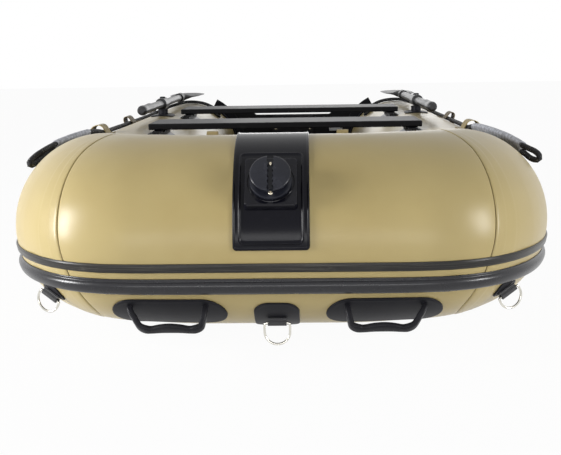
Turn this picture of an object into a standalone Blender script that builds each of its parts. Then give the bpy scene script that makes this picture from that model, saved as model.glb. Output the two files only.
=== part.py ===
"""Inflatable boat: a three-chamber air tube in a blunt U, with its bottom, floor, transom,
rub rails, bow plate with a jam cleat, carry handles, tow rings, sliding benches, lifelines and oars.
Metres, +Z up, the bow at -Y. The origin is on the underside, amidships. Port is +X."""

from bisect import bisect
from math import acos, atan2, ceil, cos, degrees, hypot, pi, radians, sin, sqrt

import bmesh
import bpy
from mathutils import Matrix, Vector

# Hull tube
overall_length = 3.10
tube_radius = 0.20
side_offset = 0.464           # centre plane to the middle of a side tube
bow_flat_half = 0.29          # half of the straight front of the bow
corner_length = 0.67          # fore and aft length of the bow's corner
inner_flat_half = 0.15
inner_corner_length = 0.30
straight_start = 0.76         # aft of the bow tube's middle, where sections lie square to the side
bow_rise = 0.05
rise_length = 0.76            # aft of the bow tube's middle, where the tube lies level
seam_station = 0.323          # along the tube's middle, from the centre plane
seam_gap = 0.0003
tail_length = 0.43
tail_radius = 0.075
tail_cap = 0.03
tail_cap_share = 0.55
tail_ease_share = 0.4

# How pieces sit on one another
seat_gap = 0.0008             # a piece that follows the round tube
flat_gap = 0.0003             # flat face to flat face
cut_overrun = 0.02

# Bottom, keel and floor
sheet_thickness = 0.006
keel_radius = 0.04
keel_row_shares = ((0.0, 0.5), (0.03, 1.0), (0.97, 1.0), (1.0, 0.5))   # of its length, of its radius
floor_thickness = 0.009
floor_panel_count = 3

# Transom
transom_station = 2.44        # aft of the bow tube's middle
transom_thickness = 0.028
transom_height = 0.16         # above the tube's middle
cutout_half_width = 0.17
cutout_depth = 0.022
cutout_slope = 0.03
pad_half_width = 0.095
pad_height = 0.13
outer_pad_thickness = 0.010
inner_pad_thickness = 0.006
pad_drop = 0.004
pad_edge = 0.002
bracket_foot = 0.055
bracket_flange = 0.040
bracket_wall = 0.005
bracket_from, bracket_to = 118.0, 232.0

# Rub rails: how far down the skin from the outermost line each one's middle runs
rail_drop = 0.0826
rail_half_width = 0.0187
rail_height = 0.0125
rail_profile_shares = ((-1, 0), (-1, 0.24), (-0.74, 0.30), (-0.52, 0.84), (0, 1), (0.52, 0.84),
                       (0.74, 0.30), (1, 0.24), (1, 0), (0, 0))
strake_drop = 0.0407
strake_half_width = 0.0093
strake_height = 0.0035
strake_profile_shares = ((-1, 0), (-1, 0.5), (-0.75, 1), (0.75, 1), (1, 0.5), (1, 0))
rail_climb = 0.0028           # gained from the bow's middle to the sides
climb_from, climb_to = 0.24, 0.40
rail_end_inset = 0.05

# Bow plate
plate_half_width = 0.0745
plate_low, plate_high = -0.0056, 0.356   # run round the tube, up from its outermost line
plate_thickness = 0.0025
plate_corner = 0.008
plate_rim_width = 0.005
plate_rim_height = 0.0012
plate_rib_inset = 0.0135
plate_rib_half_width = 0.0025
plate_rib_height = 0.0018
plate_frame_length = 0.206    # low edge to the rib across the plate, above the cleat
plate_shift = -0.0065         # the plate and its cleat sit a little to starboard

# Jam cleat
cleat_axis_angle = 40.0
cleat_shift = 0.0143          # head's middle, towards the bow's nose from where its axis is square
cleat_base_half_width = 0.0505
cleat_base_front = 0.052
cleat_base_back = 0.055
cleat_base_height = 0.009     # its flat top, over the tube
cleat_base_corner = 0.007
cleat_base_edge = 0.0015
cleat_base_draft = 0.0025
cleat_head_radius = 0.0397
cleat_head_thickness = 0.014
cleat_head_crown = 0.004
cleat_crown_shares = ((0, 1), (0.6, 0.7), (0.92, 0))   # of the radius, of the crown
cleat_head_under_share = 0.88
cleat_stem_radius = 0.0235
cleat_stem_height = 0.013
cleat_foot_radius = 0.041
cleat_foot_height = 0.006
cleat_slot_width = 0.0125
cleat_slot_depth = 0.020
cleat_slot_tilt = 10.0
cleat_tooth_depth = 0.0022
cleat_tooth_count = 5
cleat_tooth_run = 0.056
cleat_bolt_radius = 0.0050
cleat_bolt_head = 0.0035
cleat_bolt_offset = 0.030
cleat_bolt_shares = ((0, 1), (0.7, 1), (1, 0.6), (1, 0), (0, 0))

# Carry handles: each run is along the skin, from the centre plane or down from the outermost line
handle_run = 0.2175
handle_drop = 0.1640
handle_pad_half_length = 0.118
handle_pad_half_width = 0.0485
handle_pad_thickness = 0.0035
grip_run = 0.2175
grip_drop = 0.1361
grip_half_span = 0.0760
grip_reach = 0.040
grip_lean = 0.008             # the bar stands this much nearer the centre plane than its feet
grip_half_thickness = 0.006
grip_half_width = 0.0105
grip_foot_half_width = 0.0055
grip_rake = 0.014
grip_wave = 0.0035
# Along, out, swell, rake and wave shares of half a grip, from its foot to its middle
grip_row_shares = ((1.00, 0.00, 0, 0, 0), (1.00, 0.08, 0, 0, 0), (0.96, 0.34, 0.3, 0.2, 0),
                   (0.88, 0.66, 0.6, 0.6, 0), (0.80, 0.90, 0.9, 0.9, 0), (0.66, 1.02, 1, 1, 0),
                   (0.50, 1.02, 1, 1, -1), (0.24, 1.00, 1, 1, 0.3), (0.00, 1.00, 1, 1, 1))

# Tow rings
bow_ring_drop = 0.190
bow_ring_pad_half_length = 0.046
bow_ring_pad_half_width = 0.062
side_ring_run = 0.500
side_ring_pad_half_length = 0.032
side_ring_pad_half_width = 0.020
side_ring_twist = 30.0
ring_pad_gap = 0.005          # rail to pad
ring_pad_thickness = 0.003
bow_ring_pad_corner = 0.030
side_ring_pad_corner = 0.010
ring_pad_step = 0.013
ring_wire_radius = 0.0025
ring_half_width = 0.026
bow_ring_reach = 0.045        # pivot to the ring's lowest point
side_ring_reach = 0.036
ring_bar_share, ring_shoulder_share = 0.8, 0.96
strap_half_width = 0.019
strap_wall = 0.004
strap_hole_radius = 0.0031
strap_foot = 0.011

# Benches
bench_half_length = 0.40
bench_depth = 0.20
bench_thickness = 0.018
bench_edge = 0.003
bench_lift = 0.002            # underside over the tube's top
bench_spacing = 0.73
track_inset = 0.027           # bench end to the track's middle
track_length = 0.24
track_head_half = 0.013
track_head_thickness = 0.003
track_neck_half = 0.006
track_foot_half = 0.026
track_foot_thickness = 0.0025
clip_wall = 0.0025
clip_clearance = 0.0006
clip_length = 0.12

# Lifelines and their strap loops
rope_radius = 0.007
rope_point_step = 0.046
rope_lift = 0.0005
strand_gap = 0.0008
loop_width = 0.070
loop_wall = 0.003
loop_foot = 0.022
loop_height = 0.034
double_loop_half = 0.021
single_loop_half = 0.013
eye_lift_port = 0.030
eye_lift_starboard = 0.006

# Oars and rowlocks
rowlock_station = 1.50
rowlock_pad_half_length = 0.060
rowlock_pad_half_width = 0.040
rowlock_pad_thickness = 0.004
rowlock_pad_corner = 0.030
post_radius = 0.010
post_shoulder_radius = 0.018
post_shoulder_height = 0.022
oar_running_gap = 0.0004
oar_sleeve_radius = 0.021
oar_sleeve_half = 0.045
oar_shaft_radius = 0.0135
oar_grip_radius = 0.0165
oar_grip_length = 0.16
oar_grip_end_share = 0.55
oar_grip_waist_share = 0.9
oar_inboard = 0.455
oar_outboard = 0.50
blade_length = 0.42
blade_row_shares = ((0.0, 0.0), (0.16, 0.0), (0.30, 0.55), (0.45, 0.9), (0.75, 1.0), (0.93, 0.92),
                    (1.0, 0.7))
blade_half_width = 0.070
blade_half_thickness = 0.004
socket_radius = 0.0185
socket_depth = 0.06

# Air valves
valve_radius = 0.025
valve_height = 0.010
valve_cap_radius = 0.019
valve_cap_height = 0.009
valve_cap_shares = ((0, 1), (0.85, 1), (1, 0.7), (1, 0))
valve_base_shares = ((0.92, 1), (1, 0.6), (1, 0), (0, 0))
valve_facet = 10              # the tube's facet edge that a valve sits on
valve_station = 0.05
side_valve_y = 2.20           # aft of the bow tube's middle

# Facet counts
tube_sides = 28
corner_steps = 12
wire_sides = 8
bracket_rows = 16
plate_frame_rows = 9
plate_back_rows = 8

bow_y = -overall_length / 2 + tube_radius
transom_y = bow_y + transom_station
tail_start_y = overall_length / 2 - tail_length
corner_width = side_offset - bow_flat_half
inner_corner_width = side_offset - tube_radius - inner_flat_half
tube_top = 2 * tube_radius
sheet_top = sheet_thickness
rail_angle = -degrees(rail_drop / tube_radius)
strake_angle = -degrees(strake_drop / tube_radius)
handle_angle = -degrees(handle_drop / tube_radius)
grip_angle = -degrees(grip_drop / tube_radius)
bow_ring_angle = -degrees(bow_ring_drop / tube_radius)
side_ring_angle = rail_angle + degrees(
    (rail_climb - rail_half_width - ring_pad_gap - side_ring_pad_half_width) / tube_radius)
front_bench_station = rise_length + track_length / 2   # bench middle, aft of the bow tube's middle
rear_bench_station = front_bench_station + bench_spacing

for old in list(bpy.data.objects):
    bpy.data.objects.remove(old, do_unlink=True)
parts = bpy.data.collections.new("inflatable_boat")
cutters = bpy.data.collections.new("cutters")
bpy.context.scene.collection.children.link(parts)
bpy.context.scene.collection.children.link(cutters)


def make_material(name, colour, roughness, metallic=0.0):
    material = bpy.data.materials.new(name)
    material.use_nodes = True
    shader = material.node_tree.nodes["Principled BSDF"]
    shader.inputs["Base Color"].default_value = (*colour, 1.0)
    shader.inputs["Roughness"].default_value = roughness
    shader.inputs["Metallic"].default_value = metallic
    return material


tan_fabric = make_material("tan_fabric", (0.42, 0.34, 0.16), 0.42)
bottom_fabric = make_material("bottom_fabric", (0.20, 0.17, 0.10), 0.5)
black_rubber = make_material("black_rubber", (0.02, 0.02, 0.024), 0.45)
black_plastic = make_material("black_plastic", (0.015, 0.015, 0.02), 0.3)
dark_board = make_material("dark_board", (0.02, 0.02, 0.024), 0.6)
steel = make_material("steel", (0.7, 0.7, 0.68), 0.2, 1.0)
aluminium = make_material("aluminium", (0.55, 0.56, 0.58), 0.35, 1.0)
rope_black = make_material("rope_black", (0.02, 0.02, 0.02), 0.8)


def add_object(name, mesh, material, group=None, smooth_angle=40.0):
    """Link a mesh as one named piece, smooth but for its sharp edges."""
    piece = bpy.data.objects.new(name, mesh)
    (group or parts).objects.link(piece)
    if material:
        mesh.materials.clear()
        mesh.materials.append(material)
    mesh.shade_smooth()
    mesh.set_sharp_from_angle(angle=radians(smooth_angle))
    return piece


def mesh_from(bm, name):
    bmesh.ops.recalc_face_normals(bm, faces=bm.faces)
    mesh = bpy.data.meshes.new(name)
    bm.to_mesh(mesh)
    bm.free()
    return mesh


def make_cutter(piece):
    piece.hide_render = True
    piece.display_type = "WIRE"
    for group in list(piece.users_collection):
        group.objects.unlink(piece)
    cutters.objects.link(piece)
    return piece


def boolean(piece, other, operation):
    """Cut or join with another piece, which then stays as a cutter."""
    modifier = piece.modifiers.new(operation.lower(), "BOOLEAN")
    modifier.operation = operation
    modifier.solver = "EXACT"
    modifier.object = make_cutter(other)
    return piece


def loft(name, rings, material, smooth_angle=40.0):
    """A closed skin over rings of equally many points, with a face across each end."""
    bm = bmesh.new()
    rows = [[bm.verts.new(point) for point in ring] for ring in rings]
    count = len(rows[0])
    for low, high in zip(rows, rows[1:]):
        for k in range(count):
            after = (k + 1) % count
            bm.faces.new((low[k], low[after], high[after], high[k]))
    bm.faces.new(rows[0])
    bm.faces.new(rows[-1][::-1])
    bm.normal_update()
    bmesh.ops.triangulate(bm, faces=[f for f in bm.faces if len(f.verts) > 4])
    return add_object(name, mesh_from(bm, name), material, smooth_angle=smooth_angle)


def rise(y):
    """How far the tube has climbed at a place along the boat."""
    share = min(max((y - bow_y) / rise_length, 0.0), 1.0)
    return bow_rise * (1 - share * share * (3 - 2 * share))


def corner_point(share_angle):
    x = bow_flat_half + corner_width * sin(share_angle)
    y = bow_y + corner_length * (1 - cos(share_angle))
    return x, y


corner_samples = 160
corner_angles = [pi / 2 * k / corner_samples for k in range(corner_samples + 1)]
corner_arc = [0.0]
inner_arc = [0.0]
for before, after in zip(corner_angles, corner_angles[1:]):
    (x0, y0), (x1, y1) = corner_point(before), corner_point(after)
    corner_arc.append(corner_arc[-1] + hypot(x1 - x0, y1 - y0))
    inner_arc.append(inner_arc[-1] + hypot(
        inner_corner_width * (sin(after) - sin(before)),
        inner_corner_length * (cos(before) - cos(after))))
side_start = bow_flat_half + corner_arc[-1]
corner_turn = [atan2(corner_length * sin(angle), corner_width * cos(angle)) for angle in corner_angles]
corner_progress = [turn / pi + arc / corner_arc[-1] / 2 for turn, arc in zip(corner_turn, corner_arc)]
corner_marks = [corner_arc[min(bisect(corner_progress, k / corner_steps), corner_samples)]
                for k in range(corner_steps + 1)]
corner_marks[0] = 0.0


def angle_at(arc, length):
    """The corner's angle where its curve has run this far."""
    k = min(max(bisect(arc, length), 1), len(arc) - 1)
    share = (length - arc[k - 1]) / (arc[k] - arc[k - 1])
    return corner_angles[k - 1] + share * (corner_angles[k] - corner_angles[k - 1])


def station_at(y_aft):
    """The station along the tube's middle of a place on the straight side."""
    return side_start + y_aft - corner_length


def outer_frame(station):
    """The tube's middle and its outward direction, in plan, on the port side."""
    if station <= bow_flat_half:
        return station, bow_y, 0.0, -1.0
    if station < side_start:
        angle = angle_at(corner_arc, station - bow_flat_half)
        x, y = corner_point(angle)
        across, along = corner_length * sin(angle), corner_width * cos(angle)
        size = hypot(across, along)
        return x, y, across / size, -along / size
    return side_offset, bow_y + corner_length + station - side_start, 1.0, 0.0


def inner_point(run):
    """A point on the cockpit's outline, this far along it from the centre plane."""
    if run <= inner_flat_half:
        return run, bow_y + tube_radius
    run -= inner_flat_half
    if run < inner_arc[-1]:
        angle = angle_at(inner_arc, run)
        return (inner_flat_half + inner_corner_width * sin(angle),
                bow_y + tube_radius + inner_corner_length * (1 - cos(angle)))
    return side_offset - tube_radius, bow_y + tube_radius + inner_corner_length + run - inner_arc[-1]


square_station = station_at(straight_start)
square_run = inner_flat_half + inner_arc[-1] + straight_start - tube_radius - inner_corner_length


def section(station):
    """The tube's section in plan: its middle and half its width, with its height share."""
    x, y, nx, ny = outer_frame(station)
    outer = Vector((x + tube_radius * nx, y + tube_radius * ny, 0))
    if station <= inner_flat_half:
        inner = Vector((*inner_point(station), 0))
    elif station < square_station:
        share = (station - inner_flat_half) / (square_station - inner_flat_half)
        inner = Vector((*inner_point(inner_flat_half + share * (square_run - inner_flat_half)), 0))
    else:
        inner = Vector((side_offset - tube_radius, y, 0))
    share = 1.0
    if y > tail_start_y:
        run = min((y - tail_start_y) / tail_length, 1.0)
        ease = run * run * (1 + tail_ease_share * (1 - run))
        share = 1 - (1 - tail_radius / tube_radius) * ease
    return (outer + inner) / 2, (outer - inner) / 2 * share, share


def skin(station, angle):
    """A point on the tube: angle 0 faces outward, 90 is the top, 180 faces the cockpit."""
    middle, half, share = section(abs(station))
    lift = tube_radius + rise(middle.y)
    point = middle + half * cos(radians(angle))
    point.z = lift + tube_radius * share * sin(radians(angle))
    if station < 0:
        point.x = -point.x
    return point


def skin_normal(station, angle):
    step_length, step_angle = tube_radius / 500, 0.3
    along = skin(station + step_length, angle) - skin(station - step_length, angle)
    around = skin(station, angle + step_angle) - skin(station, angle - step_angle)
    return along.cross(around).normalized()


def on_skin(station, angle, height):
    """A point over the tube by a height, measured square to it."""
    return skin(station, angle) + skin_normal(station, angle) * height


def skin_matrix(station, angle, height):
    """A frame on the tube: X along it, Y up around it, Z away from it."""
    away = skin_normal(station, angle)
    up = skin(station, angle + 1) - skin(station, angle - 1)
    up = (up - away * up.dot(away)).normalized()
    along = up.cross(away)
    frame = Matrix((along, up, away)).transposed().to_4x4()
    frame.translation = on_skin(station, angle, height)
    return frame


def station_along(station, angle, run):
    """The station that lies this far along the skin from another, at one angle round the tube."""
    step = tube_radius / 40 * (1 if run > 0 else -1)
    here = skin(station, angle)
    left = abs(run)
    while left > 0:
        ahead = skin(station + step, angle)
        length = (ahead - here).length
        station += step * min(left / length, 1.0)
        left -= length
        here = ahead
    return station


def stations_between(first, last):
    """Stations close in the bow's corners and wide apart on the straights."""
    tail = station_at(tail_start_y - bow_y)
    marks = [0.0, inner_flat_half, (inner_flat_half + bow_flat_half) / 2, seam_station, square_station]
    marks += [bow_flat_half + run for run in corner_marks]
    marks += [tail + tail_length * k / 4 for k in range(5)]
    marks = sorted({sign * mark for mark in marks for sign in (-1, 1)})
    edge = tube_radius / 40
    inside = [m for m in marks if first + edge < m < last - edge]
    return [first, *inside, last]


tail_end_station = station_at(overall_length / 2 - bow_y)


def chamber(name, first, last, tail_sign=0):
    """A stretch of the air tube, with a rounded end where it is a tail."""
    angles = [360 * k / tube_sides for k in range(tube_sides)]
    rings = [[skin(s, a) for a in angles] for s in stations_between(first, last)]
    if tail_sign:
        end = rings[0] if tail_sign < 0 else rings[-1]
        middle = sum(end, Vector()) / len(end)
        back = Vector((0, -tail_cap, 0))
        cap = [middle + (p - middle) * tail_cap_share for p in end]
        moved = [p + back * tail_cap_share for p in end]
        if tail_sign < 0:
            rings = [cap, moved, *rings[1:]]
        else:
            rings = [*rings[:-1], moved, cap]
    return loft(name, rings, tan_fabric)


chamber("bow_chamber", -seam_station + seam_gap / 2, seam_station - seam_gap / 2)
chamber("port_chamber", seam_station + seam_gap / 2, tail_end_station, 1)
chamber("starboard_chamber", -tail_end_station, -seam_station - seam_gap / 2, -1)


def beside_tube(low_z, high_z, gap):
    """Points in X and Z, going up, that stay a gap off the straight tube's cockpit side."""
    reach = tube_radius + gap
    facets = [radians(270 - 360 * k / tube_sides) for k in range(tube_sides // 2 + 1)]
    edge = [(side_offset + reach * cos(a), tube_radius + reach * sin(a)) for a in facets]
    inside = [(x, z) for x, z in edge if low_z < z < high_z]
    ends = []
    for level in (low_z, high_z):
        for (x0, z0), (x1, z1) in zip(edge, edge[1:]):
            if z0 <= level <= z1:
                ends.append((x0 + (x1 - x0) * (level - z0) / (z1 - z0), level))
                break
    return [ends[0], *inside, ends[1]]


def bottom_sheet():
    """The bottom, whose edges meet the tubes' undersides and which climbs with the bow."""
    angle = -90 - degrees(acos(1 - (sheet_thickness + flat_gap) / tube_radius))
    first = bow_flat_half
    last = station_at(transom_station + transom_thickness)
    rings = []
    for s in stations_between(first, last):
        edge = skin(s, angle)
        low = rise(edge.y)
        high = low + sheet_thickness
        rings.append([Vector((-edge.x, edge.y, low)), Vector((edge.x, edge.y, low)),
                      Vector((edge.x, edge.y, high)), Vector((-edge.x, edge.y, high))])
    loft("bottom_sheet", rings, bottom_fabric)


def keel_tube():
    """The inflated keel under the floor."""
    first = bow_y + rise_length
    last = transom_y - bracket_foot
    middle_z = sheet_top + seat_gap + keel_radius
    rings = []
    for share, swell in keel_row_shares:
        radius = keel_radius * swell
        y = first + (last - first) * share
        rings.append([Vector((radius * cos(2 * pi * k / 16), y, middle_z + radius * sin(2 * pi * k / 16)))
                      for k in range(16)])
    loft("keel_tube", rings, bottom_fabric)
    return middle_z + keel_radius


def box(name, low, high, material, bevel=0.0, segments=1):
    """A block between two corners, with its edges eased."""
    bpy.ops.mesh.primitive_cube_add(size=1, location=(Vector(low) + Vector(high)) / 2)
    piece = bpy.context.object
    piece.data.transform(Matrix.Diagonal((*(Vector(high) - Vector(low)), 1)))
    for group in list(piece.users_collection):
        group.objects.unlink(piece)
    mesh = piece.data
    place = piece.matrix_world.copy()
    bpy.data.objects.remove(piece)
    piece = add_object(name, mesh, material)
    piece.matrix_world = place
    if bevel:
        modifier = piece.modifiers.new("eased_edges", "BEVEL")
        modifier.width = bevel
        modifier.segments = segments
        modifier.limit_method = "ANGLE"
    return piece


def floor_panels(bottom_z):
    """Floor boards laid on the keel, end to end, up to the tubes."""
    top = bottom_z + floor_thickness
    half = min(x for x, _ in beside_tube(bottom_z, top, seat_gap))
    first = bow_y + rise_length
    last = transom_y - bracket_foot - seat_gap
    length = (last - first) / floor_panel_count
    for k, place in enumerate(("front", "middle", "rear")[:floor_panel_count]):
        box("floor_panel_" + place,
            (-half, first + k * length + flat_gap / 2, bottom_z),
            (half, first + (k + 1) * length - flat_gap / 2, top),
            dark_board)


bottom_sheet()
keel_top = keel_tube()
floor_bottom = keel_top + flat_gap
floor_panels(floor_bottom)


def prism(name, outline, low_y, high_y, material, smooth_angle=30.0):
    """An outline in X and Z, carried along Y."""
    rings = [[Vector((x, y, z)) for x, z in outline] for y in (low_y, high_y)]
    return loft(name, rings, material, smooth_angle)


def transom():
    """The board between the tubes, hollowed at the top for a motor, with its pads and brackets."""
    low_z = sheet_top + seat_gap
    high_z = tube_radius + transom_height
    side = beside_tube(low_z, high_z, seat_gap)
    notch_z = high_z - cutout_depth
    top = [(cutout_half_width + cutout_slope, high_z), (cutout_half_width, notch_z)]
    right = side + top
    outline = right + [(-x, z) for x, z in reversed(right)]
    prism("transom_board", outline, transom_y, transom_y + transom_thickness, dark_board)
    pad_top = notch_z - pad_drop
    box("motor_pad_outer",
        (-pad_half_width, transom_y + transom_thickness + flat_gap, pad_top - pad_height),
        (pad_half_width, transom_y + transom_thickness + flat_gap + outer_pad_thickness, pad_top),
        black_plastic, pad_edge)
    box("motor_pad_inner",
        (-pad_half_width, transom_y - flat_gap - inner_pad_thickness, pad_top - pad_height),
        (pad_half_width, transom_y - flat_gap, pad_top), black_plastic, pad_edge / 2)
    back = transom_station - flat_gap
    for name, sign in (("transom_bracket_port", 1), ("transom_bracket_starboard", -1)):
        corners = [(back - bracket_foot, 0), (back, 0), (back, bracket_flange),
                   (back - bracket_wall, bracket_flange), (back - bracket_wall, bracket_wall),
                   (back - bracket_foot, bracket_wall)]
        rings = []
        for k in range(bracket_rows + 1):
            angle = bracket_from + (bracket_to - bracket_from) * k / bracket_rows
            rings.append([on_skin(sign * station_at(aft), angle, seat_gap + height)
                          for aft, height in corners])
        loft(name, rings, black_rubber)


transom()


def hull_rail(name, angle, half_width, height, profile_shares):
    """A strip of one profile, glued along the tube from tail to tail."""
    end = tail_end_station - rail_end_inset
    rings = []
    for s in stations_between(-end, end):
        share = min(max((abs(s) - climb_from) / (climb_to - climb_from), 0.0), 1.0)
        climb = rail_climb * share * share * (3 - 2 * share)
        rings.append([on_skin(s, angle + degrees((climb + half_width * across) / tube_radius),
                              seat_gap + height * high) for across, high in profile_shares])
    return loft(name, rings, black_rubber, 50.0)


hull_rail("main_rub_rail", rail_angle, rail_half_width, rail_height, rail_profile_shares)
hull_rail("upper_strake", strake_angle, strake_half_width, strake_height, strake_profile_shares)


def rounded_outline(half_width, front, back, corner, side_steps=1, end_steps=1):
    """A rectangle with round corners, in X and Y, its front edge at -Y and its edges in steps."""
    centres = [(half_width - corner, back - corner, 0), (corner - half_width, back - corner, 90),
               (corner - half_width, corner - front, 180), (half_width - corner, corner - front, 270)]
    outline = []
    for k, (x, y, start) in enumerate(centres):
        outline += [(x + corner * cos(radians(start + turn)), y + corner * sin(radians(start + turn)))
                    for turn in (0, 30, 60, 90)]
        x0, y0 = outline[-1]
        if k in (0, 2):
            outline += [(x0 - 2 * x * step / side_steps, y0) for step in range(1, side_steps)]
        elif end_steps > 1:
            far = centres[(k + 1) % 4][1] - y
            outline += [(x0, y0 + far * step / end_steps) for step in range(1, end_steps)]
    return outline


def skin_pad(name, station, angle, half_length, half_width, corner, thickness, side_steps,
             end_steps=1, ring_shares=(1.0, 0.95, 0.5)):
    """A patch glued to the tube: a rounded outline whose rim is eased and whose faces follow it."""
    bm = bmesh.new()
    outline = rounded_outline(half_length, half_width, half_width, corner, side_steps, end_steps)

    def ring(share, height):
        row = []
        for along, around in outline:
            turned_angle = angle + degrees(around * share / tube_radius)
            place = station_along(station, turned_angle, along * share)
            row.append(bm.verts.new(on_skin(place, turned_angle, height)))
        return row

    low, high = seat_gap, seat_gap + thickness
    under = [ring(share, low) for share in (ring_shares[0], *ring_shares[2:])]
    over = [ring(ring_shares[0], low + thickness / 2), *[ring(share, high) for share in ring_shares[1:]]]
    centre_low = bm.verts.new(on_skin(station, angle, low))
    centre_high = bm.verts.new(on_skin(station, angle, high))
    for k in range(len(outline)):
        n = (k + 1) % len(outline)
        for rows in (under, over):
            for outer, inner in zip(rows, rows[1:]):
                bm.faces.new((outer[k], outer[n], inner[n], inner[k]))
        bm.faces.new((under[0][k], under[0][n], over[0][n], over[0][k]))
        bm.faces.new((under[-1][k], under[-1][n], centre_low))
        bm.faces.new((over[-1][k], over[-1][n], centre_high))
    return add_object(name, mesh_from(bm, name), black_rubber)


def bump(run, middle, half, height):
    """The height of a ridge of this half width, at a place across it."""
    return height * max(0.0, 1 - abs(run - middle) / half)


def bow_plate():
    """The moulded plate over the bow, with a raised rim and a frame of ribs on its lower part."""
    rim, rib, rib_half = plate_rim_width, plate_rib_inset, plate_rib_half_width
    length, frame = plate_high - plate_low, plate_frame_length
    edges = [0, rim / 2, rim, rib - rib_half, rib, rib + rib_half]
    upper = [frame - rib_half, frame, frame + rib_half]
    runs = edges + [edges[-1] + (upper[0] - edges[-1]) * k / plate_frame_rows
                    for k in range(1, plate_frame_rows)]
    runs += upper + [upper[-1] + (length - rim - upper[-1]) * k / plate_back_rows
                     for k in range(1, plate_back_rows)]
    runs += [length - rim, length - rim / 2, length]
    rings = []
    for run in runs:
        to_end = min(run, length - run)
        near = max(plate_corner - to_end, 0)
        half = plate_half_width - plate_corner + sqrt(plate_corner ** 2 - near ** 2)
        right = []
        for edge in edges:
            high = plate_thickness + bump(min(edge, to_end), rim / 2, rim / 2, plate_rim_height)
            high += bump(min(edge, run, frame - run + rib), rib, rib_half, plate_rib_height)
            right.append((half * (1 - edge / plate_half_width), high))
        across = [(-x, high) for x, high in right] + [(0, right[-1][1])] + right[::-1]
        angle = degrees((plate_low + run) / tube_radius)
        ring = [on_skin(plate_shift + x, angle, seat_gap + high) for x, high in across]
        ring += [on_skin(plate_shift + x, angle, seat_gap) for x in (half, 0, -half)]
        rings.append(ring)
    return loft("bow_plate", rings, black_rubber)


bow_plate()


cleat_frame = (skin_matrix(0, cleat_axis_angle, 0)
               @ Matrix.Translation((plate_shift, -cleat_shift, cleat_base_height)))


def cleat():
    """The jam cleat: a wedge of a block on the plate, and a slotted, toothed round head."""
    ground = seat_gap + plate_thickness
    reach = cleat_base_front + cleat_shift + cleat_base_draft
    sunk = -cleat_base_height - reach ** 2 / tube_radius
    rings = []
    for grow, z in ((cleat_base_draft, sunk), (0, -cleat_base_edge), (-cleat_base_edge, 0)):
        outline = rounded_outline(cleat_base_half_width + grow, cleat_base_front + grow,
                                  cleat_base_back + grow, cleat_base_corner + grow)
        rings.append([Vector((x, y, z)) for x, y in outline])
    base = loft("cleat_base", rings, black_plastic)
    base.matrix_world = cleat_frame
    bpy.ops.mesh.primitive_cylinder_add(vertices=96, radius=tube_radius + ground + seat_gap,
                                        depth=2 * (cleat_base_half_width + cut_overrun))
    saddle = bpy.context.object
    saddle.name = "cleat_saddle_cutter"
    saddle.matrix_world = (Matrix.Translation((0, bow_y, tube_radius + bow_rise))
                           @ Matrix.Rotation(pi / 2, 4, "Y"))
    boolean(base, saddle, "DIFFERENCE")

    foot_z = flat_gap
    stem_z = foot_z + cleat_foot_height
    under_z = stem_z + cleat_stem_height
    rim_z = under_z + cleat_head_thickness
    top_z = rim_z + cleat_head_crown
    lip = cleat_head_thickness / 5
    profile = [(cleat_head_radius * out, rim_z + cleat_head_crown * up) for out, up in cleat_crown_shares]
    profile += [(cleat_head_radius, rim_z - lip), (cleat_head_radius, rim_z - 2 * lip),
               (cleat_head_radius * cleat_head_under_share, under_z),
               (cleat_stem_radius, under_z - lip / 2), (cleat_stem_radius, stem_z),
               (cleat_foot_radius - lip / 2, stem_z), (cleat_foot_radius, stem_z - lip / 2),
               (cleat_foot_radius, foot_z), (0, foot_z)]
    head = turned("cleat_head", profile, 36, black_plastic)
    head.matrix_world = cleat_frame
    half = cleat_slot_width / 2
    past = cleat_head_radius + cut_overrun
    pitch = cleat_tooth_run / cleat_tooth_count
    right = [(half, -past)]
    for k in range(cleat_tooth_count):
        start = -cleat_tooth_run / 2 + k * pitch
        right += [(half, start), (half - cleat_tooth_depth, start + pitch / 2)]
    right += [(half, cleat_tooth_run / 2), (half, past)]
    outline = right + [(-x, y) for x, y in reversed(right)]
    rings = [[Vector((x, y, z)) for x, y in outline] for z in (0, cleat_slot_depth + cut_overrun)]
    slot = loft("cleat_slot_cutter", rings, None)
    slot.matrix_world = (cleat_frame @ Matrix.Translation((0, 0, top_z - cleat_slot_depth))
                         @ Matrix.Rotation(radians(cleat_slot_tilt), 4, "X"))
    boolean(head, slot, "DIFFERENCE")

    bolt_z = stem_z + flat_gap
    bolt_profile = [(cleat_bolt_radius * out, bolt_z + cleat_bolt_head * up)
                    for out, up in cleat_bolt_shares]
    bolt = turned("cleat_bolt", bolt_profile, 16, steel)
    bolt.matrix_world = cleat_frame @ Matrix.Translation((0, -cleat_bolt_offset, 0))


def turned(name, profile, steps, material):
    """A profile of radius and height, listed from the top down, turned about Z."""
    mesh = bpy.data.meshes.new(name)
    mesh.from_pydata([(r, 0, z) for r, z in profile], [(k, k + 1) for k in range(len(profile) - 1)], [])
    piece = bpy.data.objects.new(name, mesh)
    parts.objects.link(piece)
    mesh.materials.append(material)
    screw = piece.modifiers.new("turn", "SCREW")
    screw.axis = "Z"
    screw.steps = steps
    screw.render_steps = steps
    screw.use_merge_vertices = True
    screw.merge_threshold = 0.00005
    screw.use_smooth_shade = True
    return piece


cleat()


def sweep(name, points, sizes, material, sides=10, up=Vector((0, 0, 1))):
    """An oval bar through points: each size is half its width, and half its height towards up."""
    rings = []
    for k, point in enumerate(points):
        ahead = points[min(k + 1, len(points) - 1)] - points[max(k - 1, 0)]
        ahead.normalize()
        across = ahead.cross(up).normalized()
        rise_way = across.cross(ahead)
        wide, tall = sizes[k]
        rings.append([point + across * wide * cos(2 * pi * n / sides)
                      + rise_way * tall * sin(2 * pi * n / sides) for n in range(sides)])
    return loft(name, rings, material)


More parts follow.
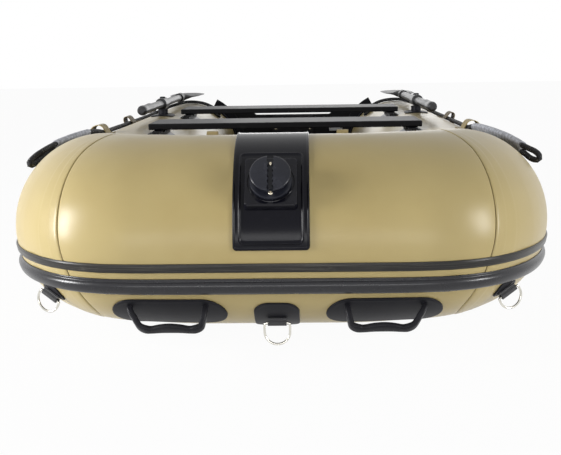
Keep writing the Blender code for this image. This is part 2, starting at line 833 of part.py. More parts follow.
def carry_handle(side, sign):
    """A glued oval pad and the moulded grip that stands off it."""
    middle = station_along(0.0, handle_angle, handle_run)
    skin_pad("handle_pad_" + side, sign * middle, handle_angle, handle_pad_half_length,
             handle_pad_half_width, handle_pad_half_width, handle_pad_thickness, 6)
    foot = seat_gap + handle_pad_thickness + flat_gap
    rows = [(-row[0], *row[1:]) for row in grip_row_shares[:-1]] + list(reversed(grip_row_shares))
    points = []
    sizes = []
    for along, out, swell, drop, wave in rows:
        extra = grip_wave * wave / 2
        angle = grip_angle - degrees((grip_rake * drop - extra) / tube_radius)
        run = grip_run + along * grip_half_span - grip_lean * drop
        points.append(on_skin(sign * station_along(0.0, grip_angle, run), angle, foot + out * grip_reach))
        wide = grip_foot_half_width + (grip_half_width - grip_foot_half_width) * swell
        sizes.append((grip_half_thickness, wide + extra))
    frame = skin_matrix(sign * station_along(0.0, grip_angle, grip_run), grip_angle, 0)
    up = (frame.to_3x3() @ Vector((0, 1, 0))).normalized()
    sweep("handle_grip_" + side, points, sizes, black_rubber, 10, up)


carry_handle("port", 1)
carry_handle("starboard", -1)


def wire_loop(name, points, radius, material, sides=wire_sides, cyclic=True):
    """A round wire through points, as a closed loop or with capped ends."""
    curve = bpy.data.curves.new(name, "CURVE")
    curve.dimensions = "3D"
    curve.bevel_depth = radius
    curve.bevel_resolution = sides // 2 - 2
    curve.use_fill_caps = True
    spline = curve.splines.new("POLY")
    spline.points.add(len(points) - 1)
    for spot, point in zip(spline.points, points):
        spot.co = (*point, 1)
    spline.use_cyclic_u = cyclic
    holder = bpy.data.objects.new(name + "_curve", curve)
    parts.objects.link(holder)
    graph = bpy.context.evaluated_depsgraph_get()
    mesh = bpy.data.meshes.new_from_object(holder.evaluated_get(graph))
    bpy.data.objects.remove(holder)
    bm = bmesh.new()
    bm.from_mesh(mesh)
    bmesh.ops.remove_doubles(bm, verts=bm.verts, dist=radius / 100)
    clean = mesh_from(bm, name)
    return add_object(name, clean, material)


strap_ground = seat_gap + ring_pad_thickness + seat_gap
side_ring_station = station_along(0.0, side_ring_angle, side_ring_run)


def strap_frame(station, angle, twist, height):
    """A strap's frame on the tube, with the ring's axis along its X."""
    return skin_matrix(station, angle, height) @ Matrix.Rotation(radians(twist), 4, "Z")


def tow_ring(side, station, angle, twist, reach, pad_half_length, pad_half_width, pad_corner):
    """A glued patch, a sewn strap on it and a steel ring that swings in the strap."""
    skin_pad("ring_pad_" + side, station, angle, pad_half_length, pad_half_width,
             pad_corner, ring_pad_thickness, 3, ceil(pad_half_width / ring_pad_step))
    frame = strap_frame(station, angle, twist, strap_ground)
    hole_z = strap_wall + strap_hole_radius
    outer = strap_wall + strap_hole_radius
    outline = [(-strap_foot, 0), (strap_foot, 0), (outer, hole_z)]
    outline += [(outer * cos(pi * k / 6), hole_z + outer * sin(pi * k / 6)) for k in range(1, 6)]
    outline += [(-outer, hole_z)]
    hole = [(strap_hole_radius * cos(2 * pi * k / 12), hole_z + strap_hole_radius * sin(2 * pi * k / 12))
            for k in range(12)]
    curve = bpy.data.curves.new("ring_strap_" + side, "CURVE")
    curve.dimensions = "2D"
    curve.fill_mode = "BOTH"
    curve.extrude = strap_half_width
    for ring in (outline, hole):
        spline = curve.splines.new("POLY")
        spline.points.add(len(ring) - 1)
        for spot, (a, b) in zip(spline.points, ring):
            spot.co = (a, b, 0, 1)
        spline.use_cyclic_u = True
    holder = bpy.data.objects.new("ring_strap_curve", curve)
    parts.objects.link(holder)
    graph = bpy.context.evaluated_depsgraph_get()
    mesh = bpy.data.meshes.new_from_object(holder.evaluated_get(graph))
    bpy.data.objects.remove(holder)
    bm = bmesh.new()
    bm.from_mesh(mesh)
    bmesh.ops.remove_doubles(bm, verts=bm.verts, dist=flat_gap / 10)
    upright = Matrix(((0, 0, 1, 0), (1, 0, 0, 0), (0, 1, 0, 0), (0, 0, 0, 1)))
    strap = add_object("ring_strap_" + side, mesh_from(bm, "ring_strap_" + side), black_rubber)
    strap.matrix_world = frame @ upright

    pivot = frame @ Vector((0, 0, hole_z))
    along = (frame.to_3x3() @ Vector((1, 0, 0))).normalized()
    down = Vector((0, 0, -1))
    down = (down - along * down.dot(along)).normalized()
    bar = ring_half_width
    shoulder = down * reach * (1 - ring_shoulder_share)
    points = [along * bar * share for share in (-ring_bar_share, ring_bar_share)]
    points.append(along * bar * ring_shoulder_share + shoulder)
    for k in range(13):
        turn = pi * k / 12
        points.append(along * bar * cos(turn) + down * (reach - bar + bar * sin(turn)))
    points.append(shoulder - along * bar * ring_shoulder_share)
    ring = wire_loop("tow_ring_" + side, points, ring_wire_radius, steel)
    holder = bpy.data.objects.new("tow_ring_axis_" + side, None)
    parts.objects.link(holder)
    holder.location = pivot
    ring.parent = holder


ring_places = {"bow": (0.0, bow_ring_angle, 0.0, bow_ring_reach,
                       bow_ring_pad_half_length, bow_ring_pad_half_width, bow_ring_pad_corner),
               "port": (side_ring_station, side_ring_angle, side_ring_twist, side_ring_reach,
                        side_ring_pad_half_length, side_ring_pad_half_width, side_ring_pad_corner),
               "starboard": (-side_ring_station, side_ring_angle, -side_ring_twist, side_ring_reach,
                             side_ring_pad_half_length, side_ring_pad_half_width,
                             side_ring_pad_corner)}
for ring_side, ring_place in ring_places.items():
    tow_ring(ring_side, *ring_place)


def bench(place, station):
    """A bench board whose clips slide on two tracks glued to the tubes."""
    low = tube_top + bench_lift
    middle_y = bow_y + station
    board = box(place + "_bench", (-bench_half_length, -bench_depth / 2, low),
                (bench_half_length, bench_depth / 2, low + bench_thickness), dark_board, bench_edge, 2)
    holder = bpy.data.objects.new(place + "_bench_slide", None)
    parts.objects.link(holder)
    holder.location = (0, middle_y, 0)
    board.parent = holder
    gap = clip_clearance
    head_top = low - flat_gap - clip_wall - gap
    head_low = head_top - track_head_thickness
    for side, sign in (("port", 1), ("starboard", -1)):
        x = sign * (bench_half_length - track_inset)
        centre = sign * side_offset
        foot = []
        for k in range(7):
            across = x + track_foot_half * (1 - k / 3)
            reach = tube_radius + seat_gap
            foot.append((across, tube_radius + sqrt(reach ** 2 - (across - centre) ** 2)))
        upper = []
        for across in (x - track_foot_half, x - track_neck_half, x + track_neck_half,
                       x + track_foot_half):
            reach = tube_radius + seat_gap + track_foot_thickness
            upper.append((across, tube_radius + sqrt(reach ** 2 - (across - centre) ** 2)))
        outline = foot + [upper[0], upper[1], (x - track_neck_half, head_low),
                          (x - track_head_half, head_low), (x - track_head_half, head_top),
                          (x + track_head_half, head_top), (x + track_head_half, head_low),
                          (x + track_neck_half, head_low), upper[2], upper[3]]
        prism(place + "_track_" + side, outline, middle_y - track_length / 2,
              middle_y + track_length / 2, black_plastic)
        inside = track_head_half + gap
        outside = inside + clip_wall
        mouth = track_neck_half + gap
        under = head_low - gap
        channel = [(x - outside, low - flat_gap), (x + outside, low - flat_gap),
                   (x + outside, under - clip_wall), (x + mouth, under - clip_wall),
                   (x + mouth, under), (x + inside, under), (x + inside, head_top + gap),
                   (x - inside, head_top + gap), (x - inside, under), (x - mouth, under),
                   (x - mouth, under - clip_wall), (x - outside, under - clip_wall)]
        clip = prism(place + "_clip_" + side, channel, -clip_length / 2, clip_length / 2, black_plastic)
        clip.parent = holder


bench("front", front_bench_station)
bench("rear", rear_bench_station)


def smooth_route(spots, step):
    """Points a step apart on a smooth curve through the route's own points."""
    spots = [spots[0] * 2 - spots[1], *spots, spots[-1] * 2 - spots[-2]]
    fine = []
    for k in range(1, len(spots) - 2):
        a, b, c, d = spots[k - 1:k + 3]
        for n in range(20):
            t = n / 20
            fine.append(((b * 2) + (c - a) * t + (a * 2 - b * 5 + c * 4 - d) * t * t
                         + (b * 3 - a - c * 3 + d) * t ** 3) / 2)
    fine.append(spots[-2])
    total = sum((q - p).length for p, q in zip(fine, fine[1:]))
    count = max(int(total / step), 2)
    points, run, target = [fine[0]], 0.0, total / count
    for p, q in zip(fine, fine[1:]):
        length = (q - p).length
        while run + length >= target * len(points) and len(points) < count:
            points.append(p.lerp(q, (target * len(points) - run) / length))
        run += length
    points.append(fine[-1])
    return points, total


# Each rope's route, as station, angle round the tube, and height over its seat
aft_route = [(2.690, 126, 0), (2.680, 108, 0), (2.655, 88, 0), (2.600, 70, 0), (2.45, 64, 0),
             (2.25, 63, 0), (2.05, 62, 0), (1.80, 63, 0), (1.55, 65, 0), (1.35, 69, 0), (1.20, 74, 0)]
eye_route = [(1.080, 76.6, 0), (0.950, 76.2, 0), (0.830, 75.0, 0), (0.720, 71.5, 0),
             (0.650, 65.5, 0), (0.615, 58.0, 0.2)]
eye_tip = [(0.600, 50.0, 0.6), (0.585, 44.0, 0.9), (0.606, 40.6, 1.0), (0.632, 44.0, 0.9),
           (0.640, 50.0, 0.6)]


def lifeline(side, sign, eye_lift):
    """The grab line: fast at the stern, held by its loops and turned back in an eye at the bow."""
    seat = seat_gap + rope_lift + rope_radius
    turn_back = degrees((2 * rope_radius + strand_gap) / tube_radius)
    spots = [on_skin(sign * s, a - turn_back / 2, seat) for s, a, _ in aft_route]
    spots += [on_skin(sign * s, a - turn_back / 2, seat + eye_lift * h) for s, a, h in eye_route]
    spots += [on_skin(sign * s, a, seat + eye_lift * h) for s, a, h in eye_tip]
    spots += [on_skin(sign * (s + rope_radius), a + turn_back / 2, seat + eye_lift * h)
              for s, a, h in reversed(eye_route)]
    points, _ = smooth_route(spots, rope_point_step)
    return wire_loop("lifeline_" + side, points, rope_radius, rope_black, 6, cyclic=False)


def strap_loop(name, station, angle, half, material):
    """A fabric strap glued down on both sides of the rope, with a tunnel for it."""
    foot, wall, high = loop_foot, loop_wall, loop_height
    crown = half * 0.6
    under = [(half + foot, 0), (half + foot / 2, 0), (half, 0), (crown, high - wall),
             (-crown, high - wall), (-half, 0), (-half - foot / 2, 0), (-half - foot, 0)]
    over = [(-half - foot, wall), (-half - foot / 2, wall), (-half - wall, wall), (-crown - wall / 2, high),
            (crown + wall / 2, high), (half + wall, wall), (half + foot / 2, wall), (half + foot, wall)]
    rings = []
    for share in (-1, -0.5, 0, 0.5, 1):
        rings.append([on_skin(station + share * loop_width / 2, angle + degrees(across / tube_radius),
                              seat_gap + height) for across, height in under + over])
    return loft(name, rings, material)


loops = [("front", 1.080, 76.6, double_loop_half), ("middle", 1.72, 61.3, single_loop_half),
         ("rear", 2.36, 61.4, single_loop_half)]
for side, sign, lift in (("port", 1, eye_lift_port), ("starboard", -1, eye_lift_starboard)):
    lifeline(side, sign, lift)
    for place, station, angle, half in loops:
        strap_loop(place + "_loop_" + side, sign * station, angle, half, tan_fabric)


def ring_of(radius, y, z=0.0, sides=16, squash=1.0):
    return [Vector((radius * cos(2 * pi * k / sides), y, z + radius * squash * sin(2 * pi * k / sides)))
            for k in range(sides)]


def oar_set(side, sign):
    """A rowlock post on the tube and the oar that turns on it, stowed along the side."""
    station = sign * station_at(rowlock_station)
    base = skin_pad("rowlock_" + side, station, 90, rowlock_pad_half_length, rowlock_pad_half_width,
                    rowlock_pad_corner, rowlock_pad_thickness, 2)
    ground = tube_top + seat_gap + rowlock_pad_thickness / 2
    shoulder_z = tube_top + post_shoulder_height
    middle_z = shoulder_z + flat_gap + oar_sleeve_radius
    top_z = middle_z + oar_sleeve_radius + rowlock_pad_thickness
    profile = [(0, top_z), (post_radius * 0.8, top_z), (post_radius, top_z - post_radius * 0.2),
               (post_radius, shoulder_z), (post_shoulder_radius, shoulder_z),
               (post_shoulder_radius, ground), (0, ground)]
    post = turned("rowlock_post_" + side, profile, 20, None)
    post.location = (sign * side_offset, bow_y + rowlock_station, 0)
    boolean(base, post, "UNION")

    holder = bpy.data.objects.new("oar_axis_" + side, None)
    parts.objects.link(holder)
    holder.location = (sign * side_offset, bow_y + rowlock_station, middle_z)
    grip, shaft, sleeve = oar_grip_radius, oar_shaft_radius, oar_sleeve_radius
    step = sleeve - shaft
    front = -oar_inboard
    waist = grip * oar_grip_waist_share
    rows = [(grip * oar_grip_end_share, front), (waist, front + grip / 3), (grip, front + grip),
            (waist, front + oar_grip_length / 2), (grip, front + oar_grip_length),
            (shaft, front + oar_grip_length + shaft / 2), (shaft, -oar_sleeve_half - step),
            (sleeve, -oar_sleeve_half), (sleeve, oar_sleeve_half), (shaft, oar_sleeve_half + step),
            (shaft, oar_outboard)]
    oar = loft("oar_" + side, [ring_of(radius, y) for radius, y in rows], aluminium)
    oar.parent = holder
    bpy.ops.mesh.primitive_cylinder_add(vertices=24, radius=post_radius + oar_running_gap,
                                        depth=2 * (sleeve + cut_overrun))
    bore = bpy.context.object
    bore.name = "oar_bore_cutter_" + side
    bore.parent = holder
    boolean(oar, bore, "DIFFERENCE")

    wide, thin, socket = blade_half_width, blade_half_thickness, socket_radius
    start = oar_outboard - socket_depth
    rings = []
    for along, spread in blade_row_shares:
        half_wide = socket + (wide - socket) * spread
        half_thin = socket + (thin - socket) * min(spread * 1.5, 1.0)
        rings.append(ring_of(half_wide, start + along * blade_length, 0.0, 16, half_thin / half_wide))
    blade = loft("oar_blade_" + side, rings, black_plastic)
    blade.parent = holder
    bpy.ops.mesh.primitive_cylinder_add(vertices=24, radius=shaft + flat_gap,
                                        depth=socket_depth + flat_gap + cut_overrun)
    socket_bore = bpy.context.object
    socket_bore.name = "blade_socket_cutter_" + side
    socket_bore.rotation_euler = (pi / 2, 0, 0)
    socket_bore.location = (0, start + (socket_depth + flat_gap - cut_overrun) / 2, 0)
    socket_bore.parent = holder
    boolean(blade, socket_bore, "DIFFERENCE")


oar_set("port", 1)
oar_set("starboard", -1)


def air_valve(name, station, angle):
    """A screw-capped air valve on the cockpit side of a chamber."""
    profile = [(valve_cap_radius * out, valve_height + valve_cap_height * up)
               for out, up in valve_cap_shares]
    profile += [(valve_radius * out, valve_height * up) for out, up in valve_base_shares]
    valve = turned(name, profile, 20, black_plastic)
    valve.matrix_world = skin_matrix(station, angle, seat_gap)


valve_angle = 360 * valve_facet / tube_sides
air_valve("bow_valve", valve_station, valve_angle)
air_valve("port_valve", station_at(side_valve_y), valve_angle)
air_valve("starboard_valve", -station_at(side_valve_y), valve_angle)
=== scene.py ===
from bisect import bisect
from math import cos, degrees, hypot, pi, radians, sin, sqrt

import bmesh
import bpy
from mathutils import Matrix, Vector, noise


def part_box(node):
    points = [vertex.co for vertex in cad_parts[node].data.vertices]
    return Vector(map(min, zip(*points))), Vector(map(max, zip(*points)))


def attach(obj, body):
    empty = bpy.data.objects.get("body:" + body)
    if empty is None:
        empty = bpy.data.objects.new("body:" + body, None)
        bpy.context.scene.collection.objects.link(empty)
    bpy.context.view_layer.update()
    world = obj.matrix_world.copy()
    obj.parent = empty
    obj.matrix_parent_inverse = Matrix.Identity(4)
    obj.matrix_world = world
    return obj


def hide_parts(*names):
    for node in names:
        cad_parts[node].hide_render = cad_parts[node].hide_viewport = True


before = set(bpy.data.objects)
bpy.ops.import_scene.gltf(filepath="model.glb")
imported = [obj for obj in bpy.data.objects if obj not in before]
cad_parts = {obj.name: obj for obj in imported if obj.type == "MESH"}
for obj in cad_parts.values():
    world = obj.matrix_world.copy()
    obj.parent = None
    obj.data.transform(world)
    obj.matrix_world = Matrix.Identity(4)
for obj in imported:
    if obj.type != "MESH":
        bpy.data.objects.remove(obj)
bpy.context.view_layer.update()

scene = bpy.context.scene
scene.view_settings.view_transform = "Standard"


class Wire:  # one output of a shader tree, so that sums on it can be written out
    def __init__(self, tree, socket=None):
        self.tree = tree
        self.socket = socket

    def node(self, kind, settings=None, inputs=None, output=0):
        made = self.tree.nodes.new("ShaderNode" + kind)
        for key, value in (settings or {}).items():
            if key == "stops":
                ends = made.color_ramp.elements
                for spot, (place, colour) in zip(ends, (value[0], value[-1])):
                    spot.position, spot.color = place, colour
                for place, colour in value[1:-1]:
                    ends.new(place).color = colour
            else:
                setattr(made, key, value)
        for key, value in (inputs or {}).items():
            if isinstance(value, Wire):
                self.tree.links.new(value.socket, made.inputs[key])
            else:
                made.inputs[key].default_value = value
        return Wire(self.tree, made.outputs[output])

    def maths(self, operation, *values):
        return self.node("Math", {"operation": operation}, dict(enumerate(values)))

    def __add__(self, other):
        return self.maths("ADD", self, other)

    def __sub__(self, other):
        return self.maths("SUBTRACT", self, other)

    def __mul__(self, other):
        return self.maths("MULTIPLY", self, other)

    __radd__ = __add__
    __rmul__ = __mul__

    def wave(self):
        return self.maths("SINE", self)

    def size(self):
        return self.maths("ABSOLUTE", self)

    def most(self, other):
        return self.maths("MAXIMUM", self, other)

    def ease(self, low, high, start=0.0, end=1.0):
        return self.node("MapRange", {"interpolation_type": "SMOOTHSTEP", "clamp": True},
                         {0: self, 1: low, 2: high, 3: start, 4: end})

    def tint(self, first, second):  # this share of the second colour
        return self.node("Mix", {"data_type": "RGBA"}, {0: self, 6: first, 7: second}, 2)

    def stretch(self, across, along, up):
        return self.node("VectorMath", {"operation": "MULTIPLY"}, {0: self, 1: (across, along, up)})

    def part(self, axis):
        return self.node("SeparateXYZ", None, {0: self}, axis)

    def cloud(self, scale, detail=3.0, rough=0.5):
        return self.node("TexNoise", None, {"Vector": self, "Scale": scale, "Detail": detail, "Roughness": rough})

    def cells(self, scale):
        return self.node("TexVoronoi", {"feature": "F1"}, {"Vector": self, "Scale": scale})

    def relief(self, distance, strength=1.0, normal=None):
        inputs = {"Height": self, "Distance": distance, "Strength": strength}
        if normal:
            inputs["Normal"] = normal
        return self.node("Bump", None, inputs)


def colour(red, green, blue):
    return (red, green, blue, 1.0)


def newFinish(name, constants):
    material = bpy.data.materials.new(name)
    material.use_nodes = True
    surface = material.node_tree.nodes["Principled BSDF"]
    for key, value in constants.items():
        surface.inputs[key].default_value = value
    wire = Wire(material.node_tree)
    place = wire.node("TexCoord", output="Object")
    cloth = wire.node("TexCoord", output="UV")
    return material, place, cloth


def finish(material, base, rough, normal, metallic=None):
    surface = material.node_tree.nodes["Principled BSDF"]
    for key, value in (("Base Color", base), ("Roughness", rough), ("Metallic", metallic), ("Normal", normal)):
        if value:
            material.node_tree.links.new(value.socket, surface.inputs[key])
    return material


print("materials")
# the seam colour is painted shade: the dark line where shade falls in the seam groove between overlapping chambers
coatedFabric = {"khaki": colour(0.440, 0.352, 0.160), "worn": colour(0.400, 0.312, 0.132),
                "paintedSeamShade": colour(0.150, 0.115, 0.056), "roughness": 0.33, "weavePitch": 0.0011, "weaveDepth": 0.00003}


def makeCoatedFabric(name, values, roughness=0.0):
    material, place, cloth = newFinish(name, {"Specular IOR Level": 0.30, "Sheen Weight": 0.03, "Sheen Roughness": 0.5})
    mottle = place.cloud(3.2, 4.0, 0.55)
    fine = place.cloud(60.0, 3.0)
    base = mottle.ease(0.35, 0.75).tint(values["khaki"], values["worn"])
    # the seamShade attribute paints shade along the seams and at the edges of the strips beside them
    edge = place.node("Attribute", {"attribute_name": "seamShade"}, output="Fac")
    base = edge.ease(0.25, 0.9).tint(base, values["paintedSeamShade"])
    turn = 2 * pi / values["weavePitch"]
    weave = (cloth.part(0) * turn).wave() * (cloth.part(1) * turn).wave()
    film = place.cloud(900.0, 2.0)
    height = weave * 0.35 + film * 0.65
    swell = place.cloud(5.5, 2.0).relief(0.0012, 0.5)
    normal = height.relief(values["weaveDepth"], 0.6, swell)
    rough = values["roughness"] + roughness + (mottle - 0.5) * 0.10 + (fine - 0.5) * 0.05
    return finish(material, base, rough, normal)


tubeFabric = makeCoatedFabric("khakiCoatedFabric", coatedFabric)
bottomFabric = makeCoatedFabric("brownCoatedFabric", {**coatedFabric, "khaki": colour(0.155, 0.128, 0.075),
                                                      "worn": colour(0.120, 0.098, 0.058)}, 0.08)

blackRubber = {"black": colour(0.010, 0.010, 0.013), "dustAndSheen": colour(0.050, 0.049, 0.050), "roughness": 0.34,
               "gloss": 0.12}


def makeRubber(name, values, dustShare, sheenStreaks, grain):
    material, place, cloth = newFinish(name, {"Specular IOR Level": values["gloss"]})
    cloudy = place.cloud(14.0, 4.0, 0.6)
    scuff = place.cloud(55.0, 5.0, 0.65)
    marks = cloudy.ease(0.50, 0.72) * scuff.ease(0.48, 0.66) * dustShare
    # painted sheen: lighter streaks along the strip, in the same colour as the dust marks
    if sheenStreaks:
        sheenLines = cloth.stretch(3.0, 420.0, 1.0).cloud(2.0, 3.0, 0.6)
        marks = marks.most(sheenLines.ease(0.46, 0.72) * sheenStreaks)
    base = marks.tint(values["black"], values["dustAndSheen"])
    rough = values["roughness"] + (scuff - 0.5) * 0.08 + marks * 0.15
    pores = place.cloud(1500.0, 2.0) * 0.6 + place.cloud(260.0, 2.0) * 0.4
    return finish(material, base, rough, pores.relief(grain, 0.55))


railRubber = makeRubber("bumperRubber", {**blackRubber, "roughness": 0.28, "gloss": 0.45}, 0.40, 0.15, 0.00002)
# the flat strip is painted grey and streaked along its length: dust and painted sheen
strakeRubber = makeRubber("flatStripRubber", {
    **blackRubber, "black": colour(0.018, 0.017, 0.016), "dustAndSheen": colour(0.110, 0.105, 0.092), "roughness": 0.30,
    "gloss": 0.25}, 0.45, 0.75, 0.00006)
plateRubber = makeRubber("bowPlateRubber", {
    **blackRubber, "black": colour(0.003, 0.003, 0.006), "roughness": 0.20, "gloss": 0.14}, 0.05, 0.0, 0.00003)
padRubber = makeRubber("gluedPadRubber", {**blackRubber, "roughness": 0.44}, 0.30, 0.0, 0.00006)
gripRubber = makeRubber("handGripRubber", {
    **blackRubber, "black": colour(0.014, 0.014, 0.017), "roughness": 0.33}, 0.20, 0.0, 0.00004)


def makePlastic(name, base, roughness, grain, gloss=0.18):
    material, place, cloth = newFinish(name, {"Specular IOR Level": gloss})
    cloudy = place.cloud(40.0, 3.0)
    shade = cloudy.ease(0.4, 0.8).tint(base, tuple([min(c * 1.35 + 0.004, 1.0) for c in base[:3]] + [1.0]))
    rough = roughness + (cloudy - 0.5) * 0.10
    bumps = place.cloud(1800.0, 2.0) * 0.7 + place.cells(900.0) * 0.3
    return finish(material, shade, rough, bumps.relief(grain, 0.5))


cleatPlastic = makePlastic("cleatPlastic", colour(0.003, 0.003, 0.006), 0.14, 0.00002, 0.22)
headPlastic = makePlastic("cleatHeadPlastic", colour(0.012, 0.013, 0.019), 0.26, 0.00003, 0.26)
mouldedPlastic = makePlastic("mouldedPlastic", colour(0.014, 0.014, 0.016), 0.38, 0.00003)
bladePlastic = makePlastic("bladePlastic", colour(0.016, 0.016, 0.018), 0.42, 0.00004)


def makeMetal(name, base, roughness, brushed, metallic=1.0):
    material, place, cloth = newFinish(name, {"Metallic": metallic})
    fine = place.stretch(*brushed).cloud(120.0, 3.0)
    worn = place.cloud(90.0, 3.0)
    shade = worn.ease(0.45, 0.8).tint(base, tuple([c * 0.72 for c in base[:3]] + [1.0]))
    rough = roughness + (fine - 0.5) * 0.16 + (worn - 0.5) * 0.08
    return finish(material, shade, rough, fine.relief(0.00001, 0.4))


ringSteel = makeMetal("ringSteel", colour(0.70, 0.68, 0.62), 0.16, (1, 1, 1))
boltSteel = makeMetal("boltSteel", colour(0.66, 0.60, 0.48), 0.24, (1, 1, 1))
shaftAluminium = makeMetal("blackAnodisedShaft", colour(0.016, 0.016, 0.018), 0.38, (6, 0.4, 6), 0.1)
plateAluminium = makeMetal("blankPlateAluminium", colour(0.62, 0.64, 0.68), 0.34, (0.5, 8, 8))
boardValues = {"paint": colour(0.004, 0.004, 0.005), "worn": colour(0.018, 0.018, 0.019)}


def makeBoard(name, values, speckle):
    material, place, cloth = newFinish(name, {"Specular IOR Level": 0.15})
    grain = place.stretch(0.6, 9.0, 9.0).cloud(34.0, 5.0, 0.6)
    worn = place.cloud(26.0, 5.0, 0.6).ease(0.56, 0.78) * 0.5
    base = (worn + grain.ease(0.5, 0.8) * 0.25).tint(values["paint"], values["worn"])
    rough = 0.44 + (grain - 0.5) * 0.20
    height = grain * 0.6 + place.cells(speckle) * 0.4
    return finish(material, base, rough, height.relief(0.00012, 0.5))


benchPaint = makeBoard("paintedBenchBoard", boardValues, 700.0)
floorPaint = makeBoard("studdedFloorBoard", {**boardValues, "paint": colour(0.020, 0.020, 0.022)}, 260.0)


def makeWebbing(name, base, dark, pitch=0.0018):
    material, place, cloth = newFinish(name, {"Sheen Weight": 0.2, "Sheen Roughness": 0.5})
    turn = pi / pitch
    ribs = (cloth.part(0) * turn).wave().size()
    picks = ((cloth.part(1) + cloth.part(0) * 0.5) * turn).wave().size()
    weave = ribs * 0.6 + picks * 0.4
    fuzz = place.cloud(240.0, 4.0)
    shade = (weave * 0.7 + fuzz * 0.3).ease(0.15, 0.85).tint(dark, base)
    rough = 0.62 + (fuzz - 0.5) * 0.2
    return finish(material, shade, rough, weave.relief(0.00025, 0.7))


blackWebbing = makeWebbing("blackWebbing", colour(0.024, 0.024, 0.027), colour(0.008, 0.008, 0.009))
ropeValues = {"black": colour(0.006, 0.006, 0.007), "fleck": colour(0.42, 0.42, 0.40), "plaitPitch": 0.0105,
              "strands": 8}


def makeRope(name, values):
    material, place, cloth = newFinish(name, {"Specular IOR Level": 0.25, "Sheen Weight": 0.05,
                                              "Sheen Roughness": 0.45})
    turn = 2 * pi / values["plaitPitch"]
    wind = 2 * pi * values["strands"] / 2
    right = (cloth.part(0) * turn + cloth.part(1) * wind).wave()
    left = (cloth.part(0) * turn - cloth.part(1) * wind).wave()
    plait = right.most(left)
    yarn = ((cloth.part(0) * turn * 7.0 + cloth.part(1) * wind * 4.0).wave() * 0.5 + 0.5)
    spots = cloth.stretch(1.0, 0.044, 1.0).cells(190.0)
    fleck = spots.ease(0.16, 0.30, 1.0, 0.0) * place.cloud(330.0, 2.0).ease(0.46, 0.58)
    shade = (plait * 0.5 + 0.5).tint(values["black"], colour(0.016, 0.016, 0.018))
    shade = fleck.tint(shade, values["fleck"])
    height = plait * 0.7 + yarn * 0.3
    rough = 0.62 + yarn * 0.12
    return finish(material, shade, rough, height.relief(0.0006, 0.8))


grabRope = makeRope("braidedGrabRope", ropeValues)


def makeTape():
    material, place, cloth = newFinish("silverTape", {"Specular IOR Level": 0.6})
    folds = place.cloud(95.0, 5.0, 0.7)
    lap = (cloth.part(0) * (2 * pi / 0.019) + cloth.part(1) * 3.0).wave()
    # painted shade and highlight: the tape is darker in the hollows of its folds and lighter on their crests, and
    # darker along the lapped edges of its turns as painted shade
    base = folds.ease(0.36, 0.60).tint(colour(0.26, 0.27, 0.31), colour(0.52, 0.54, 0.60))
    base = lap.ease(0.955, 1.0).tint(base, colour(0.14, 0.145, 0.16))
    rough = 0.40 + (folds - 0.5) * 0.4
    height = folds * 0.7 + lap.ease(0.8, 1.0) * 0.3
    return finish(material, base, rough, height.relief(0.0007, 0.7), folds.ease(0.3, 0.7, 0.05, 0.30))


wrapTape = makeTape()
tanStrap = makeWebbing("tanStrapCloth", colour(0.40, 0.31, 0.13), colour(0.27, 0.20, 0.08), 0.0013)
# the tan strap cloth again, painted darker as painted shade for the loops that lie in shadow
paintedShadeTanStrap = makeWebbing("tanStrapClothPaintedShade", colour(0.150, 0.108, 0.045), colour(0.085, 0.060, 0.026), 0.0013)

print("camera and light")
view = {"focalPixels": 938.0, "place": (0.0635, -3.313, 0.615), "yaw": 0.0293, "pitch": 0.1827, "roll": 0.0154,
        "photoWidth": 561, "sensor": 36.0}
cameraData = bpy.data.cameras.new("photoCamera")
cameraData.sensor_width = view["sensor"]
cameraData.sensor_fit = "HORIZONTAL"
cameraData.lens = view["focalPixels"] / view["photoWidth"] * view["sensor"]
cameraData.clip_end = 100.0
camera = bpy.data.objects.new("photoCamera", cameraData)
scene.collection.objects.link(camera)
camera.matrix_world = (Matrix.Translation(view["place"]) @ Matrix.Rotation(view["yaw"], 4, "Z")
                       @ Matrix.Rotation(pi / 2 - view["pitch"], 4, "X") @ Matrix.Rotation(-view["roll"], 4, "Z"))
scene.camera = camera

studio = {"ambient": 0.10, "lamps": (
    # name, place, aim, width, height, watts
    ("leftSoftbox", (-3.2, -2.2, 0.90), (-0.45, -1.1, 0.20), 0.9, 1.4, 138.0),
    ("rightSoftbox", (3.4, -3.0, 1.0), (0.40, -1.2, 0.20), 0.9, 1.5, 84.0),
    ("frontStrip", (0.0, -4.6, 0.30), (0.0, -1.3, 0.20), 3.0, 0.4, 26.0),
    ("topSoftbox", (0.0, 0.2, 3.3), (0.0, -0.2, 0.0), 2.6, 2.6, 1.5),
    ("backSoftbox", (0.4, 5.4, 0.9), (0.0, 1.4, 0.15), 2.2, 1.2, 16.0))}
for name, place, aim, width, height, watts in studio["lamps"]:
    lampData = bpy.data.lights.new(name, "AREA")
    lampData.shape = "RECTANGLE"
    lampData.size, lampData.size_y = width, height
    lampData.energy = watts
    lamp = bpy.data.objects.new(name, lampData)
    scene.collection.objects.link(lamp)
    lamp.location = place
    lamp.rotation_euler = (Vector(aim) - Vector(place)).to_track_quat("-Z", "Y").to_euler()

world = bpy.data.worlds.new("studioWorld")
scene.world = world
world.use_nodes = True
background = world.node_tree.nodes["Background"]
air = Wire(world.node_tree)
path = {ray: air.node("LightPath", output=ray) for ray in ("Is Camera Ray", "Is Glossy Ray", "Is Transmission Ray")}
seen = path["Is Camera Ray"].most(path["Is Glossy Ray"]).most(path["Is Transmission Ray"])
background.inputs["Color"].default_value = colour(1, 1, 1)
world.node_tree.links.new((seen * (1.0 - studio["ambient"]) + studio["ambient"]).socket, background.inputs["Strength"])

